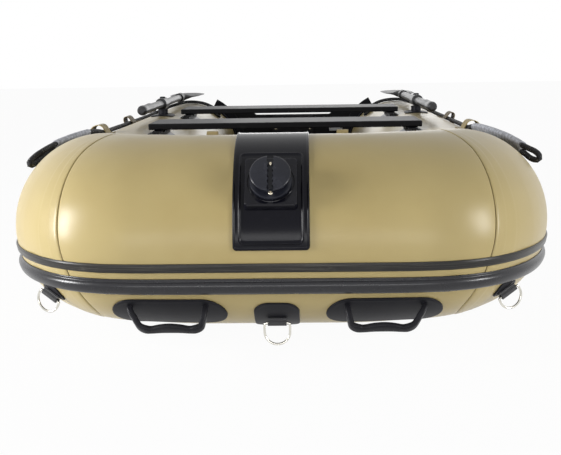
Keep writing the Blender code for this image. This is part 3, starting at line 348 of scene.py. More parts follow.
# a pale floor that shows white to the camera and still takes the boat's shadow
bpy.ops.object.select_all(action="DESELECT")
bpy.ops.mesh.primitive_grid_add(x_subdivisions=8, y_subdivisions=8, size=24.0, location=(0, 4, 0))
ground = bpy.context.object
ground.name = "studioFloor"
ground.data.transform(ground.matrix_world)
ground.matrix_world = Matrix.Identity(4)
floorFinish = bpy.data.materials.new("studioFloorPaint")
floorFinish.use_nodes = True
tree = floorFinish.node_tree
paint = tree.nodes["Principled BSDF"]
paint.inputs["Base Color"].default_value = colour(0.86, 0.86, 0.86)
paint.inputs["Roughness"].default_value = 0.7
paint.inputs["Specular IOR Level"].default_value = 0.1
wire = Wire(tree)
glow = wire.node("Emission", None, {"Color": colour(1, 1, 1), "Strength": 1.0})
camRay = wire.node("LightPath", output="Is Camera Ray")
glossRay = wire.node("LightPath", output="Is Glossy Ray").most(wire.node("LightPath", output="Is Transmission Ray"))
mixed = wire.node("MixShader", None, {0: camRay.most(glossRay) * 0.96, 1: Wire(tree, paint.outputs[0]), 2: glow})
tree.links.new(mixed.socket, tree.nodes["Material Output"].inputs["Surface"])
ground.data.materials.append(floorFinish)

print("hull shape")
boatSides = (("port", 1), ("starboard", -1))
hull = {"length": 3.10, "radius": 0.20, "sideOffset": 0.464, "bowFlat": 0.29, "cornerLength": 0.67,
        "innerFlat": 0.15, "innerCornerLength": 0.30, "straightStart": 0.76, "bowRise": 0.05, "riseLength": 0.76,
        "tailLength": 0.43, "tailRadius": 0.075, "tailEase": 0.4, "tailCap": 0.032, "seat": 0.0008}
tubeRadius = hull["radius"]
bowY = -hull["length"] / 2 + tubeRadius
tailStartY = hull["length"] / 2 - hull["tailLength"]
cornerWidth = hull["sideOffset"] - hull["bowFlat"]
innerWidth = hull["sideOffset"] - tubeRadius - hull["innerFlat"]
cornerAngles = [pi / 2 * k / 160 for k in range(161)]


def cornerPoint(angle):
    return hull["bowFlat"] + cornerWidth * sin(angle), bowY + hull["cornerLength"] * (1 - cos(angle))


cornerArc, innerArc = [0.0], [0.0]
for before, after in zip(cornerAngles, cornerAngles[1:]):
    (x0, y0), (x1, y1) = cornerPoint(before), cornerPoint(after)
    cornerArc.append(cornerArc[-1] + hypot(x1 - x0, y1 - y0))
    innerArc.append(innerArc[-1] + hypot(innerWidth * (sin(after) - sin(before)),
                                         hull["innerCornerLength"] * (cos(before) - cos(after))))
sideStart = hull["bowFlat"] + cornerArc[-1]


def rise(y):
    share = min(max((y - bowY) / hull["riseLength"], 0.0), 1.0)
    return hull["bowRise"] * (1 - share * share * (3 - 2 * share))


def angleAt(arc, length):
    k = min(max(bisect(arc, length), 1), len(arc) - 1)
    share = (length - arc[k - 1]) / (arc[k] - arc[k - 1])
    return cornerAngles[k - 1] + share * (cornerAngles[k] - cornerAngles[k - 1])


def stationAt(aft):  # along the tube's middle, for a place on its straight side
    return sideStart + aft - hull["cornerLength"]


def outerFrame(station):
    if station <= hull["bowFlat"]:
        return station, bowY, 0.0, -1.0
    if station < sideStart:
        angle = angleAt(cornerArc, station - hull["bowFlat"])
        x, y = cornerPoint(angle)
        across, along = hull["cornerLength"] * sin(angle), cornerWidth * cos(angle)
        size = hypot(across, along)
        return x, y, across / size, -along / size
    return hull["sideOffset"], bowY + hull["cornerLength"] + station - sideStart, 1.0, 0.0


def innerPoint(run):
    if run <= hull["innerFlat"]:
        return run, bowY + tubeRadius
    run -= hull["innerFlat"]
    if run < innerArc[-1]:
        angle = angleAt(innerArc, run)
        return (hull["innerFlat"] + innerWidth * sin(angle),
                bowY + tubeRadius + hull["innerCornerLength"] * (1 - cos(angle)))
    return hull["sideOffset"] - tubeRadius, bowY + tubeRadius + hull["innerCornerLength"] + run - innerArc[-1]


squareStation = stationAt(hull["straightStart"])
squareRun = hull["innerFlat"] + innerArc[-1] + hull["straightStart"] - tubeRadius - hull["innerCornerLength"]
tailEnd = stationAt(hull["length"] / 2 - bowY)


def section(station):
    x, y, nx, ny = outerFrame(station)
    outer = Vector((x + tubeRadius * nx, y + tubeRadius * ny, 0))
    if station <= hull["innerFlat"]:
        inner = Vector((*innerPoint(station), 0))
    elif station < squareStation:
        share = (station - hull["innerFlat"]) / (squareStation - hull["innerFlat"])
        inner = Vector((*innerPoint(hull["innerFlat"] + share * (squareRun - hull["innerFlat"])), 0))
    else:
        inner = Vector((hull["sideOffset"] - tubeRadius, y, 0))
    share = 1.0
    if y > tailStartY:
        run = min((y - tailStartY) / hull["tailLength"], 1.0)
        share = 1 - (1 - hull["tailRadius"] / tubeRadius) * run * run * (1 + hull["tailEase"] * (1 - run))
    return (outer + inner) / 2, (outer - inner) / 2 * share, share


def skin(station, angle):  # angle 0 faces outward, 90 is the top, 180 faces the cockpit
    middle, half, share = section(abs(station))
    point = middle + half * cos(radians(angle))
    point.z = tubeRadius + rise(middle.y) + tubeRadius * share * sin(radians(angle))
    if station < 0:
        point.x = -point.x
    return point


def skinNormal(station, angle):
    along = skin(station + 0.0004, angle) - skin(station - 0.0004, angle)
    around = skin(station, angle + 0.3) - skin(station, angle - 0.3)
    return along.cross(around).normalized()


def onSkin(station, angle, height):
    point = skin(station, angle)
    return point + skinNormal(station, angle) * height if height else point


def skinMatrix(station, angle, height):
    away = skinNormal(station, angle)
    up = skin(station, angle + 1) - skin(station, angle - 1)
    up = (up - away * up.dot(away)).normalized()
    along = up.cross(away)
    turned = Matrix((along, up, away)).transposed().to_4x4()
    turned.translation = onSkin(station, angle, height)
    return turned


def stationAlong(station, angle, run):
    step = tubeRadius / 40 * (1 if run > 0 else -1)
    here, left = skin(station, angle), abs(run)
    while left > 0:
        ahead = skin(station + step, angle)
        length = (ahead - here).length
        station += step * min(left / length, 1.0)
        left -= length
        here = ahead
    return station


def curveThrough(table, at):  # a smooth reading of a table of places and values
    k = min(max(bisect([row[0] for row in table], at), 1), len(table) - 1)
    (x0, y0), (x1, y1) = table[k - 1], table[k]
    before = table[k - 2] if k > 1 else (2 * x0 - x1, 2 * y0 - y1)
    after = table[k + 1] if k + 1 < len(table) else (2 * x1 - x0, 2 * y1 - y0)
    t = (at - x0) / (x1 - x0)
    m0 = (y1 - before[1]) / (x1 - before[0]) * (x1 - x0)
    m1 = (after[1] - y0) / (after[0] - x0) * (x1 - x0)
    return ((2 * t ** 3 - 3 * t * t + 1) * y0 + (t ** 3 - 2 * t * t + t) * m0
            + (3 * t * t - 2 * t ** 3) * y1 + (t ** 3 - t * t) * m1)


def smoothShare(value, low, high):
    share = min(max((value - low) / (high - low), 0.0), 1.0)
    return share * share * (3 - 2 * share)


def curveBetween(a, b, c, d, t):  # a smooth way from b to c, with a before them and d after them
    return (b * 2 + (c - a) * t + (a * 2 - b * 5 + c * 4 - d) * t * t + (b * 3 - a - c * 3 + d) * t ** 3) / 2


def between(first, last, step):
    count = max(1, round((last - first) / step))
    return [first + (last - first) * k / count for k in range(count + 1)]


def legs(first, *ends):  # places from the first one on, each leg given by its end and the step on it
    places = [first]
    for last, step in ends:
        places += between(places[-1], last, step)[1:]
    return places


# a mesh from rows of points, with a map of its surface in metres
def surface(name, rows, mapRows, around=True, ends=True, shade=None, smooth=40.0):
    count = len(rows[0])
    points = [point for row in rows for point in row]
    faces, corners = [], []
    for r in range(len(rows) - 1):
        for k in range(count if around else count - 1):
            n = (k + 1) % count
            faces.append((r * count + k, r * count + n, (r + 1) * count + n, (r + 1) * count + k))
            corners += [mapRows[r][k], mapRows[r][k + 1], mapRows[r + 1][k + 1], mapRows[r + 1][k]]
    if ends:
        for r in (0, len(rows) - 1):
            points.append(sum(rows[r], Vector()) / count)
            for k in range(count):
                faces.append((r * count + k, r * count + (k + 1) % count, len(points) - 1))
                corners += [mapRows[r][k], mapRows[r][k + 1], mapRows[r][k]]
    mesh = bpy.data.meshes.new(name)
    mesh.from_pydata([tuple(p) for p in points], [], faces)
    chart = mesh.uv_layers.new(name="clothMap")
    chart.data.foreach_set("uv", [value for corner in corners for value in corner])
    if shade:
        tone = mesh.attributes.new("seamShade", "FLOAT", "POINT")
        values = [value for row in shade for value in row] + [0.0] * (len(points) - count * len(rows))
        tone.data.foreach_set("value", values)
    bm = bmesh.new()
    bm.from_mesh(mesh)
    bmesh.ops.recalc_face_normals(bm, faces=bm.faces)
    if ends and bm.calc_volume(signed=True) < 0:
        bmesh.ops.reverse_faces(bm, faces=bm.faces)
    bm.to_mesh(mesh)
    bm.free()
    mesh.shade_smooth()
    if smooth < 180:
        mesh.set_sharp_from_angle(angle=radians(smooth))
    piece = bpy.data.objects.new(name, mesh)
    scene.collection.objects.link(piece)
    return piece


def settle(piece, body, slotName, material, *nodes):  # a finished piece gets its body and finish, and the solids it stands for are hidden
    piece.data.materials.clear()
    piece.data.materials.append(material)
    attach(piece, body)
    if nodes:
        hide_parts(*nodes)


print("air tubes")
chambers = {"facets": 112, "step": 0.011, "cornerEnd": 1.22, "sideStep": 0.035, "tailStep": 0.02, "capRows": 8,
            "bowHalf": 0.32, "middleShare": 0.97, "farFrom": 0.365, "seamMiddle": 0.321, "stripReach": 0.027,
            "stripHigh": 0.0010, "highEdge": (0.0080, 0.0108), "stripLow": 0.0005, "lowEdge": (0.0197, 0.0228),
            # seam place along the tube, at each angle round it
            "seam": ((-200, 0.452), (-160, 0.446), (-130, 0.425), (-100, 0.375), (-85, 0.345), (-70, 0.327),
                     (-50, 0.315), (-20, 0.317), (0, 0.321), (30, 0.3255), (60, 0.332), (80, 0.337), (90, 0.347),
                     (100, 0.375), (115, 0.412), (140, 0.436), (160, 0.446), (200, 0.452))}
chamberAngles = [-180 + 360 * k / chambers["facets"] for k in range(chambers["facets"])]
aroundMap = [(-180 + 360 * k / chambers["facets"]) * pi / 180 * tubeRadius for k in range(chambers["facets"] + 1)]
seams = [curveThrough(chambers["seam"], angle) for angle in chamberAngles]


def tubeRows(makeRow, places):
    rows, maps, tones = [], [], []
    for place in places:
        stations, heights, tone = makeRow(place)
        rows.append([onSkin(s, a, h) for s, a, h in zip(stations, chamberAngles, heights)])
        maps.append([(s, v) for s, v in zip([*stations, stations[0]], aroundMap)])
        tones.append([tone] * len(stations))
    return rows, maps, tones


def bowRow(place):
    share, short, height, tone = place
    stations = [share * seam - (short if share > 0 else -short) for seam in seams]
    return stations, [height] * len(seams), tone


middleShares = between(-chambers["middleShare"], chambers["middleShare"], chambers["step"] / chambers["bowHalf"])
# share of the way to the seam, distance short of it, height and share of painted seam shade
rightEdge = [(1, 0.0045, 0, 0.0), (1, 0.0012, 0, 0.0), (1, 0.0005, -0.0001, 0.0), (1, 0.0003, -0.0003, 0.25),
             (1, 0.0001, -0.0020, 0.8)]
leftEdge = [(-1, short, height, tone) for _, short, height, tone in reversed(rightEdge)]
places = leftEdge + [(share, 0.0, 0, 0.0) for share in middleShares] + rightEdge
rows, maps, tones = tubeRows(bowRow, places)
bowTube = surface("bowAirTube", rows, maps, shade=tones, smooth=60.0)
settle(bowTube, "hull", "tan_fabric", tubeFabric, "bow_chamber")


def stripHeight(past):  # the two glued strips beside the seam
    high = chambers["stripHigh"] * (1 - smoothShare(past, *chambers["highEdge"]))
    low = chambers["stripLow"] * (1 - smoothShare(past, *chambers["lowEdge"]))
    return max(high, low)


def sideTube(side, sign):
    reach = chambers["stripReach"]
    past = [0.0003, 0.0005, 0.0008, 0.0016, 0.003, 0.005, 0.007, 0.0080, 0.0086, 0.0093, 0.0100, 0.0105, 0.0112, 0.014,
            0.0175, 0.0195, 0.0205, 0.0212, 0.0220, 0.0230, reach]
    drops = {0.0003: -0.0020, 0.0005: -0.0003, 0.0008: 0.0003}
    # painted seam shade: dark at the seam itself, faint at the edges of the glued strips
    tones = {0.0003: 0.8, 0.0005: 0.15, 0.0105: 0.06, 0.0230: 0.04}
    tailRound = tailEnd - hull["tailCap"]
    far = legs(chambers["farFrom"], (chambers["cornerEnd"], chambers["step"]),
               (stationAt(tailStartY - bowY), chambers["sideStep"]), (tailRound, chambers["tailStep"]))[1:]
    base = chambers["seamMiddle"] + reach
    spots = [("near", p) for p in past] + [("far", s) for s in far]

    def row(spot):
        kind, value = spot
        if kind == "near":
            stations = [sign * (seam + value) for seam in seams]
            height = drops.get(value, stripHeight(value))
            return stations, [height] * len(seams), tones.get(value, 0.0)
        share = (value - base) / (tailRound - base)
        stations = [sign * (seam + reach + share * (tailRound - seam - reach)) for seam in seams]
        return stations, [0] * len(seams), 0.0

    rows, maps, shades = tubeRows(row, spots)
    last, lastMap = rows[-1], maps[-1]
    middle = sum(last, Vector()) / len(last)
    for k in range(1, chambers["capRows"] + 1):
        turn = pi / 2 * k / (chambers["capRows"] + 0.4)
        out = hull["tailCap"] * sin(turn)
        rows.append([middle + (point - middle) * cos(turn) + Vector((0, out, 0)) for point in last])
        maps.append([(u + out, v) for u, v in lastMap])
        # a line of painted seam shade round the tail cap
        shades.append([0.5 if k == 2 else 0.0] * len(last))
    piece = surface(side + "AirTube", rows, maps, shade=shades, smooth=60.0)
    settle(piece, "hull", "tan_fabric", tubeFabric, side + "_chamber")


for side, sign in boatSides:
    sideTube(side, sign)

print("bottom")
bottom = {"thickness": 0.0015, "gap": 0.0004, "lift": 0.0001, "from": 0.30, "transomAft": 2.468, "step": 0.02,
          "sideStep": 0.06}


def bottomCloth():
    drop = bottom["thickness"] + bottom["gap"]
    angle = -90 - degrees(2 * sqrt(drop / tubeRadius / 2))
    places = legs(bottom["from"], (chambers["cornerEnd"], bottom["step"]),
                  (stationAt(bottom["transomAft"]), bottom["sideStep"]))
    shares = [-1, -0.995, -0.97, -0.92, -0.9, -0.6, -0.3, 0, 0.3, 0.6, 0.9, 0.92, 0.97, 0.995, 1]
    rows, maps, area, widest, length = [], [], 0.0, 0.0, 0.0
    edges = [skin(s, angle) for s in places]
    for before, edge in zip([edges[0], *edges], edges):
        low = rise(edge.y) + bottom["lift"]
        under = [Vector((edge.x * share, edge.y, low)) for share in shares]
        over = [Vector((edge.x * share, edge.y, low + bottom["thickness"])) for share in reversed(shares)]
        rows.append(under + over)
        step = hypot(edge.y - before.y, rise(edge.y) - rise(before.y))
        length += step
        area += step * (edge.x + before.x)
        widest = max(widest, 2 * edge.x)
        maps.append([(length, edge.x * share) for share in shares]
                    + [(length, edge.x * share) for share in reversed(shares)] + [(length, -edge.x)])
    piece = surface("bottomCloth", rows, maps, smooth=50.0)
    settle(piece, "hull", "bottom_fabric", bottomFabric, "bottom_sheet")


bottomCloth()

keel = {"sides": 48, "inset": 0.0003, "endRun": 0.1, "step": 0.06,
        # distance from an end, and share of the radius there
        "end": ((0.0, 0.15), (0.004, 0.45), (0.012, 0.72), (0.024, 0.90), (0.04, 0.98), (0.06, 1.0))}


def circle(sides):  # places round a circle of radius one
    return [(cos(2 * pi * k / sides), sin(2 * pi * k / sides)) for k in range(sides)]


def keelTube():
    low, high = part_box("keel_tube")
    middle, radius = (low + high) / 2, (high.z - low.z) / 2 - keel["inset"]
    length, sides = high.y - low.y, keel["sides"]
    runs = [*keel["end"]] + [(run, 1.0) for run in between(keel["endRun"], length - keel["endRun"], keel["step"])]
    runs += [(length - run, share) for run, share in reversed(keel["end"])]
    rows, maps = [], []
    for run, share in runs:
        rows.append([middle + Vector((radius * share * c, low.y + run - middle.y, radius * share * s))
                     for c, s in circle(sides)])
        maps.append([(run, radius * 2 * pi * k / sides) for k in range(sides + 1)])
    piece = surface("inflatedKeel", rows, maps)
    settle(piece, "hull", "bottom_fabric", bottomFabric, "keel_tube")


keelTube()

print("rubbing strips")
bumper = {"drop": 0.0826, "halfWidth": 0.0187, "height": 0.0125, "climb": 0.0028, "climbFrom": 0.24, "climbTo": 0.40,
          "endInset": 0.05, "nose": 0.012, "noseDrop": 0.96, "noseWidth": 0.6,
          "steps": ((0.28, 0.02), (1.22, 0.010)), "tail": 0.45, "sideStep": 0.05, "tailStep": 0.02,
          # across, as shares of the half width, and up, as shares of the height
          "profile": ((-1.0, 0.0), (-1.0, 0.10), (-0.985, 0.17), (-0.955, 0.20), (-0.90, 0.20), (-0.885, 0.17),
                      (-0.86, 0.17), (-0.845, 0.215), (-0.79, 0.23), (-0.775, 0.20), (-0.75, 0.21), (-0.72, 0.30),
                      (-0.69, 0.47), (-0.64, 0.64), (-0.57, 0.78), (-0.47, 0.89), (-0.34, 0.96), (-0.18, 0.995),
                      (0.0, 1.0), (0.18, 0.985), (0.34, 0.94), (0.47, 0.86), (0.57, 0.75), (0.64, 0.62), (0.69, 0.46),
                      (0.72, 0.31), (0.75, 0.235), (0.80, 0.21), (0.93, 0.19), (0.975, 0.16), (1.0, 0.09), (1.0, 0.0),
                      (0.6, 0.0), (0.2, 0.0), (-0.2, 0.0), (-0.6, 0.0))}
flatStrip = {**bumper, "drop": 0.0407, "halfWidth": 0.0093, "height": 0.0035,
             "profile": ((-1.0, 0.0), (-1.0, 0.30), (-0.97, 0.50), (-0.90, 0.62), (-0.82, 0.60), (-0.76, 0.72),
                         (-0.66, 0.94), (-0.5, 1.0), (-0.2, 0.97), (0.0, 0.93), (0.2, 0.97), (0.5, 1.0), (0.66, 0.94),
                         (0.76, 0.72), (0.82, 0.60), (0.90, 0.62), (0.97, 0.50), (1.0, 0.30), (1.0, 0.0), (0.5, 0.0),
                         (0.0, 0.0), (-0.5, 0.0))}


def rubbingStrip(name, values, material, node):
    end = tailEnd - values["endInset"]
    right = legs(0.0, *values["steps"], (end - values["tail"], values["sideStep"]),
                 (end - values["nose"], values["tailStep"]))
    right += [end - values["nose"] * (1 - sin(pi / 2 * k / 6)) for k in range(1, 7)]
    stations = [-s for s in reversed(right[1:])] + right
    angle = -degrees(values["drop"] / tubeRadius)
    turn, spread = [], 0.0
    for (x0, y0), (x1, y1) in zip(values["profile"], values["profile"][1:] + values["profile"][:1]):
        turn.append(spread)
        spread += hypot((x1 - x0) * values["halfWidth"], (y1 - y0) * values["height"])
    rows, maps = [], []
    for s in stations:
        climb = values["climb"] * smoothShare(abs(s), values["climbFrom"], values["climbTo"])
        near = max(0.0, 1 - (end - abs(s)) / values["nose"])
        share = sqrt(max(0.0, 1 - near * near * values["noseDrop"]))
        half = values["halfWidth"] * (values["noseWidth"] + (1 - values["noseWidth"]) * share)
        rows.append([onSkin(s, angle + degrees((climb + half * across) / tubeRadius),
                            hull["seat"] + values["height"] * high * share) for across, high in values["profile"]])
        maps.append([(s, v) for v in [*turn, spread]])
    piece = surface(name, rows, maps, smooth=50.0)
    settle(piece, "hull", "black_rubber", material, node)


rubbingStrip("dShapedBumper", bumper, railRubber, "main_rub_rail")
rubbingStrip("flatRubbingStrip", flatStrip, strakeRubber, "upper_strake")

print("bow plate")
plate = {"halfWidth": 0.0745, "low": -0.0056, "high": 0.356, "thickness": 0.0025, "corner": 0.008, "rimWidth": 0.0052,
         "rimHeight": 0.0014, "ribInset": 0.0135, "ribHalf": 0.0026, "ribHeight": 0.0020, "ribCorner": 0.010,
         "frameLength": 0.206, "shift": -0.0065, "edgeRound": 0.0012, "edgeFoot": 0.16, "fieldDrop": 0.0006,
         "fieldEdge": (0.0030, 0.0055), "under": 0.0002, "step": 0.006}


def roundedBox(x, y, halfX, halfY, corner):  # how far outside a rounded rectangle a place lies
    dx, dy = abs(x) - halfX + corner, abs(y) - halfY + corner
    return hypot(max(dx, 0), max(dy, 0)) + min(max(dx, dy), 0) - corner


def ridge(distance, half, height):
    share = max(0.0, 1 - abs(distance) / half)
    return height * share * share * (3 - 2 * share)


def plateRelief(x, run):
    length = plate["high"] - plate["low"]
    inside = -roundedBox(x, run - length / 2, plate["halfWidth"], length / 2, plate["corner"])
    edge, foot = min(inside / plate["edgeRound"], 1.0), plate["edgeFoot"]
    height = plate["thickness"] * sqrt(max(0.0, edge * (2 - edge)) * (1 - foot) + foot)
    height += ridge(inside - plate["rimWidth"] / 2, plate["rimWidth"] / 2, plate["rimHeight"])
    halfX = plate["halfWidth"] - plate["ribInset"]
    halfY = (plate["frameLength"] - plate["ribInset"]) / 2
    ring = roundedBox(x, run - plate["ribInset"] - halfY, halfX, halfY, plate["ribCorner"])
    height += ridge(ring, plate["ribHalf"], plate["ribHeight"])
    return height - plate["fieldDrop"] * smoothShare(-ring, *plate["fieldEdge"])


def padRow(off, length, halfWidth, corner, edges):  # places across the top and the underside of a round-cornered pad
    near = max(corner - min(off, length - off), 0)
    half = halfWidth - corner + sqrt(max(corner ** 2 - near ** 2, 0.0))
    right = [half * (1 - edge / halfWidth) for edge in edges]
    return [-x for x in right] + [0.0] + right[::-1], [half, half / 2, 0, -half / 2, -half]


def bowPlate():
    edges = [0, 0.0003, 0.0007, 0.0013, 0.0019, 0.0026, 0.0033, 0.0040, 0.0046, 0.0053, 0.0065, 0.0080, 0.0095, 0.0108,
             0.0114, 0.0121, 0.0128, 0.0135, 0.0142, 0.0149, 0.0156, 0.0163, 0.0175, 0.0190, 0.021, 0.025, 0.031,
             0.038, 0.046, 0.055, 0.065]
    length, frameTop = plate["high"] - plate["low"], plate["frameLength"]
    cross = [frameTop + offset for offset in (-0.010, -0.0075, -0.0055, -0.0040, -0.0028, -0.0021, -0.0014, -0.0007, 0,
                                               0.0007, 0.0014, 0.0021, 0.0028)]
    runs = edges[:25] + between(edges[25], frameTop - 0.012, plate["step"]) + cross
    runs += between(frameTop + 0.006, length - edges[24], plate["step"])
    runs += [length - edge for edge in reversed(edges[:24])]
    rows, maps = [], []
    for run in runs:
        across, back = padRow(run, length, plate["halfWidth"], plate["corner"], edges)
        angle = degrees((plate["low"] + run) / tubeRadius)
        top = [onSkin(plate["shift"] + x, angle, hull["seat"] + plateRelief(x, run)) for x in across]
        rows.append(top + [onSkin(plate["shift"] + x, angle, hull["seat"] - plate["under"]) for x in back])
        maps.append([(x, run) for x in across + back + back[-1:]])
    piece = surface("mouldedBowPlate", rows, maps, smooth=60.0)
    settle(piece, "hull", "black_rubber", plateRubber, "bow_plate")


bowPlate()

print("modelling tools")


def deselectAll():
    bpy.ops.object.select_all(action="DESELECT")


def takeUp(piece):  # makes it the one selected object
    deselectAll()
    piece.select_set(True)
    bpy.context.view_layer.objects.active = piece


def closeEdit():  # leaves edit mode with all normals facing out
    bpy.ops.mesh.select_all(action="SELECT")
    bpy.ops.mesh.normals_make_consistent(inside=False)
    bpy.ops.object.mode_set(mode="OBJECT")


def applyModifier(piece, kind, **settings):
    takeUp(piece)
    modifier = piece.modifiers.new(kind.lower(), kind)
    for key, value in settings.items():
        setattr(modifier, key, value)
    bpy.ops.object.modifier_apply(modifier=modifier.name)


def carry(piece, place):  # puts the piece where it belongs, with that place in its mesh
    piece.data.transform(place @ piece.matrix_world)
    piece.matrix_world = Matrix.Identity(4)
    return piece


def newBox(name, middle, size):  # left in edit mode
    deselectAll()
    bpy.ops.mesh.primitive_cube_add(size=1, location=middle, scale=size)
    piece = bpy.context.object
    piece.name = name
    carry(piece, Matrix.Identity(4))
    bpy.ops.object.mode_set(mode="EDIT")
    return piece


def smoothPiece(piece):
    takeUp(piece)
    bpy.ops.object.shade_smooth_by_angle(angle=radians(30))


def cutAway(piece, cutter):
    applyModifier(piece, "BOOLEAN", object=cutter, operation="DIFFERENCE", solver="EXACT")
    bpy.data.objects.remove(cutter)


def pick(piece, kind, test):  # in edit mode: selects the faces or edges whose middle passes the test
    bpy.ops.mesh.select_mode(type=kind)
    bpy.ops.mesh.select_all(action="DESELECT")
    bm = bmesh.from_edit_mesh(piece.data)
    for item in bm.faces if kind == "FACE" else bm.edges:
        middle = sum((v.co for v in item.verts), Vector()) / len(item.verts)
        if test(middle, item):
            item.select_set(True)
    bmesh.update_edit_mesh(piece.data)


def turnedPiece(name, rows, sides):  # from its foot up, as radius and height
    deselectAll()
    radius, height = rows[0]
    bpy.ops.mesh.primitive_circle_add(vertices=sides, radius=radius, fill_type="NGON", location=(0, 0, height))
    piece = bpy.context.object
    piece.name = name
    bpy.ops.object.mode_set(mode="EDIT")
    bpy.ops.mesh.select_all(action="SELECT")
    for nextRadius, nextHeight in rows[1:]:
        bpy.ops.mesh.extrude_region_move(TRANSFORM_OT_translate={"value": (0, 0, nextHeight - height)})
        share = nextRadius / radius
        bpy.ops.transform.resize(value=(share, share, 1), center_override=(0, 0, nextHeight))
        radius, height = nextRadius, nextHeight
    closeEdit()
    return piece


def rounded(points, times=3):  # cuts the corners of an open line, this many times over
    for _ in range(times):
        cut = [points[0]]
        for a, b in zip(points, points[1:]):
            cut += [tuple(p * (1 - share) + q * share for p, q in zip(a, b)) for share in (0.25, 0.75)]
        points = cut + [points[-1]]
    return points


def sweep(name, points, radius, sides, closed=False):
    count = len(points)
    ahead = []
    for k in range(count):
        a = points[k - 1] if k or closed else points[0]
        b = points[(k + 1) % count] if k + 1 < count or closed else points[-1]
        ahead.append((b - a).normalized())
    across = ahead[0].orthogonal().normalized()
    rows, maps, run = [], [], 0.0
    order = list(range(count)) + ([0] if closed else [])
    for n, k in enumerate(order):
        across = (across - ahead[k] * across.dot(ahead[k])).normalized()
        over = ahead[k].cross(across)
        if n:
            run += (points[k] - points[order[n - 1]]).length
        rows.append([points[k] + (across * c + over * s) * radius for c, s in circle(sides)])
        maps.append([(run, j / sides) for j in range(sides + 1)])
    if not closed:
        return surface(name, rows, maps, smooth=50.0)
    twist = min(range(sides), key=lambda j: (rows[-1][j] - rows[0][0]).length)
    rows[-1] = [rows[0][(j - twist) % sides] for j in range(sides)]
    piece = surface(name, rows, maps, ends=False, smooth=50.0)
    takeUp(piece)
    bpy.ops.object.mode_set(mode="EDIT")
    bpy.ops.mesh.select_all(action="SELECT")
    bpy.ops.mesh.remove_doubles(threshold=0.00001)
    closeEdit()
    return piece


print("jam cleat")
cleat = {"angle": 40.0, "shift": 0.0143, "blockHalf": 0.0505, "blockFront": 0.052, "blockBack": 0.055,
         "blockHeight": 0.009, "blockDepth": 0.034, "corner": 0.007, "edge": 0.0015, "draft": 0.003, "groove": 0.0450,
         "grooveDepth": 0.0010, "saddleLift": 0.0042, "saddleLength": 0.16, "footRadius": 0.041, "footTop": 0.0063,
         "stemRadius": 0.0235, "underside": 0.0193, "rim": 0.0333, "top": 0.0373, "headRadius": 0.0397,
         "slotWidth": 0.0125, "slotDepth": 0.020, "slotTilt": 10.0, "toothDepth": 0.0022, "teeth": 5, "toothRun": 0.056,
         "slotReach": 0.06, "slotTop": 0.04, "edgeWidth": 0.0004,
         # place along the slot, height over its floor, radius and height
         "lowerBolt": (-0.030, 0.0003, 0.0044, 0.0032), "upperBolt": (0.0268, 0.0002, 0.0036, 0.0025)}
cleatPlace = skinMatrix(0, cleat["angle"], 0)
cleatPlace = cleatPlace @ Matrix.Translation((plate["shift"], -cleat["shift"], cleat["blockHeight"]))


def cleatBlock():
    front, back, half, deep = (cleat["block" + key] for key in ("Front", "Back", "Half", "Depth"))
    middle = (back - front) / 2
    block = newBox("cleatBlock", (0, middle, -deep / 2), (2 * half, front + back, deep))
    pick(block, "FACE", lambda centre, face: centre.z < -deep + 0.001)
    grow = 1 + cleat["draft"] / half
    bpy.ops.transform.resize(value=(grow, grow, 1), center_override=(0, middle, -deep))
    pick(block, "EDGE", lambda centre, edge: abs(edge.verts[0].co.z - edge.verts[1].co.z) > deep / 2)
    bpy.ops.mesh.bevel(offset=cleat["corner"], segments=7, affect="EDGES")
    pick(block, "EDGE", lambda centre, edge: edge.verts[0].co.z > -0.0001 and edge.verts[1].co.z > -0.0001)
    bpy.ops.mesh.bevel(offset=cleat["edge"], segments=3, affect="EDGES")
    closeEdit()
    deselectAll()
    bpy.ops.mesh.primitive_torus_add(major_radius=cleat["groove"], minor_radius=cleat["grooveDepth"], major_segments=96,
                                     minor_segments=10)
    cutAway(block, bpy.context.object)
    carry(block, cleatPlace)
    deselectAll()
    bpy.ops.mesh.primitive_cylinder_add(vertices=192, radius=tubeRadius + cleat["saddleLift"], rotation=(0, pi / 2, 0),
                                        depth=cleat["saddleLength"], location=(0, bowY, tubeRadius + hull["bowRise"]))
    cutAway(block, bpy.context.object)
    smoothPiece(block)
    settle(block, "hull", "black_plastic", cleatPlastic, "cleat_base")


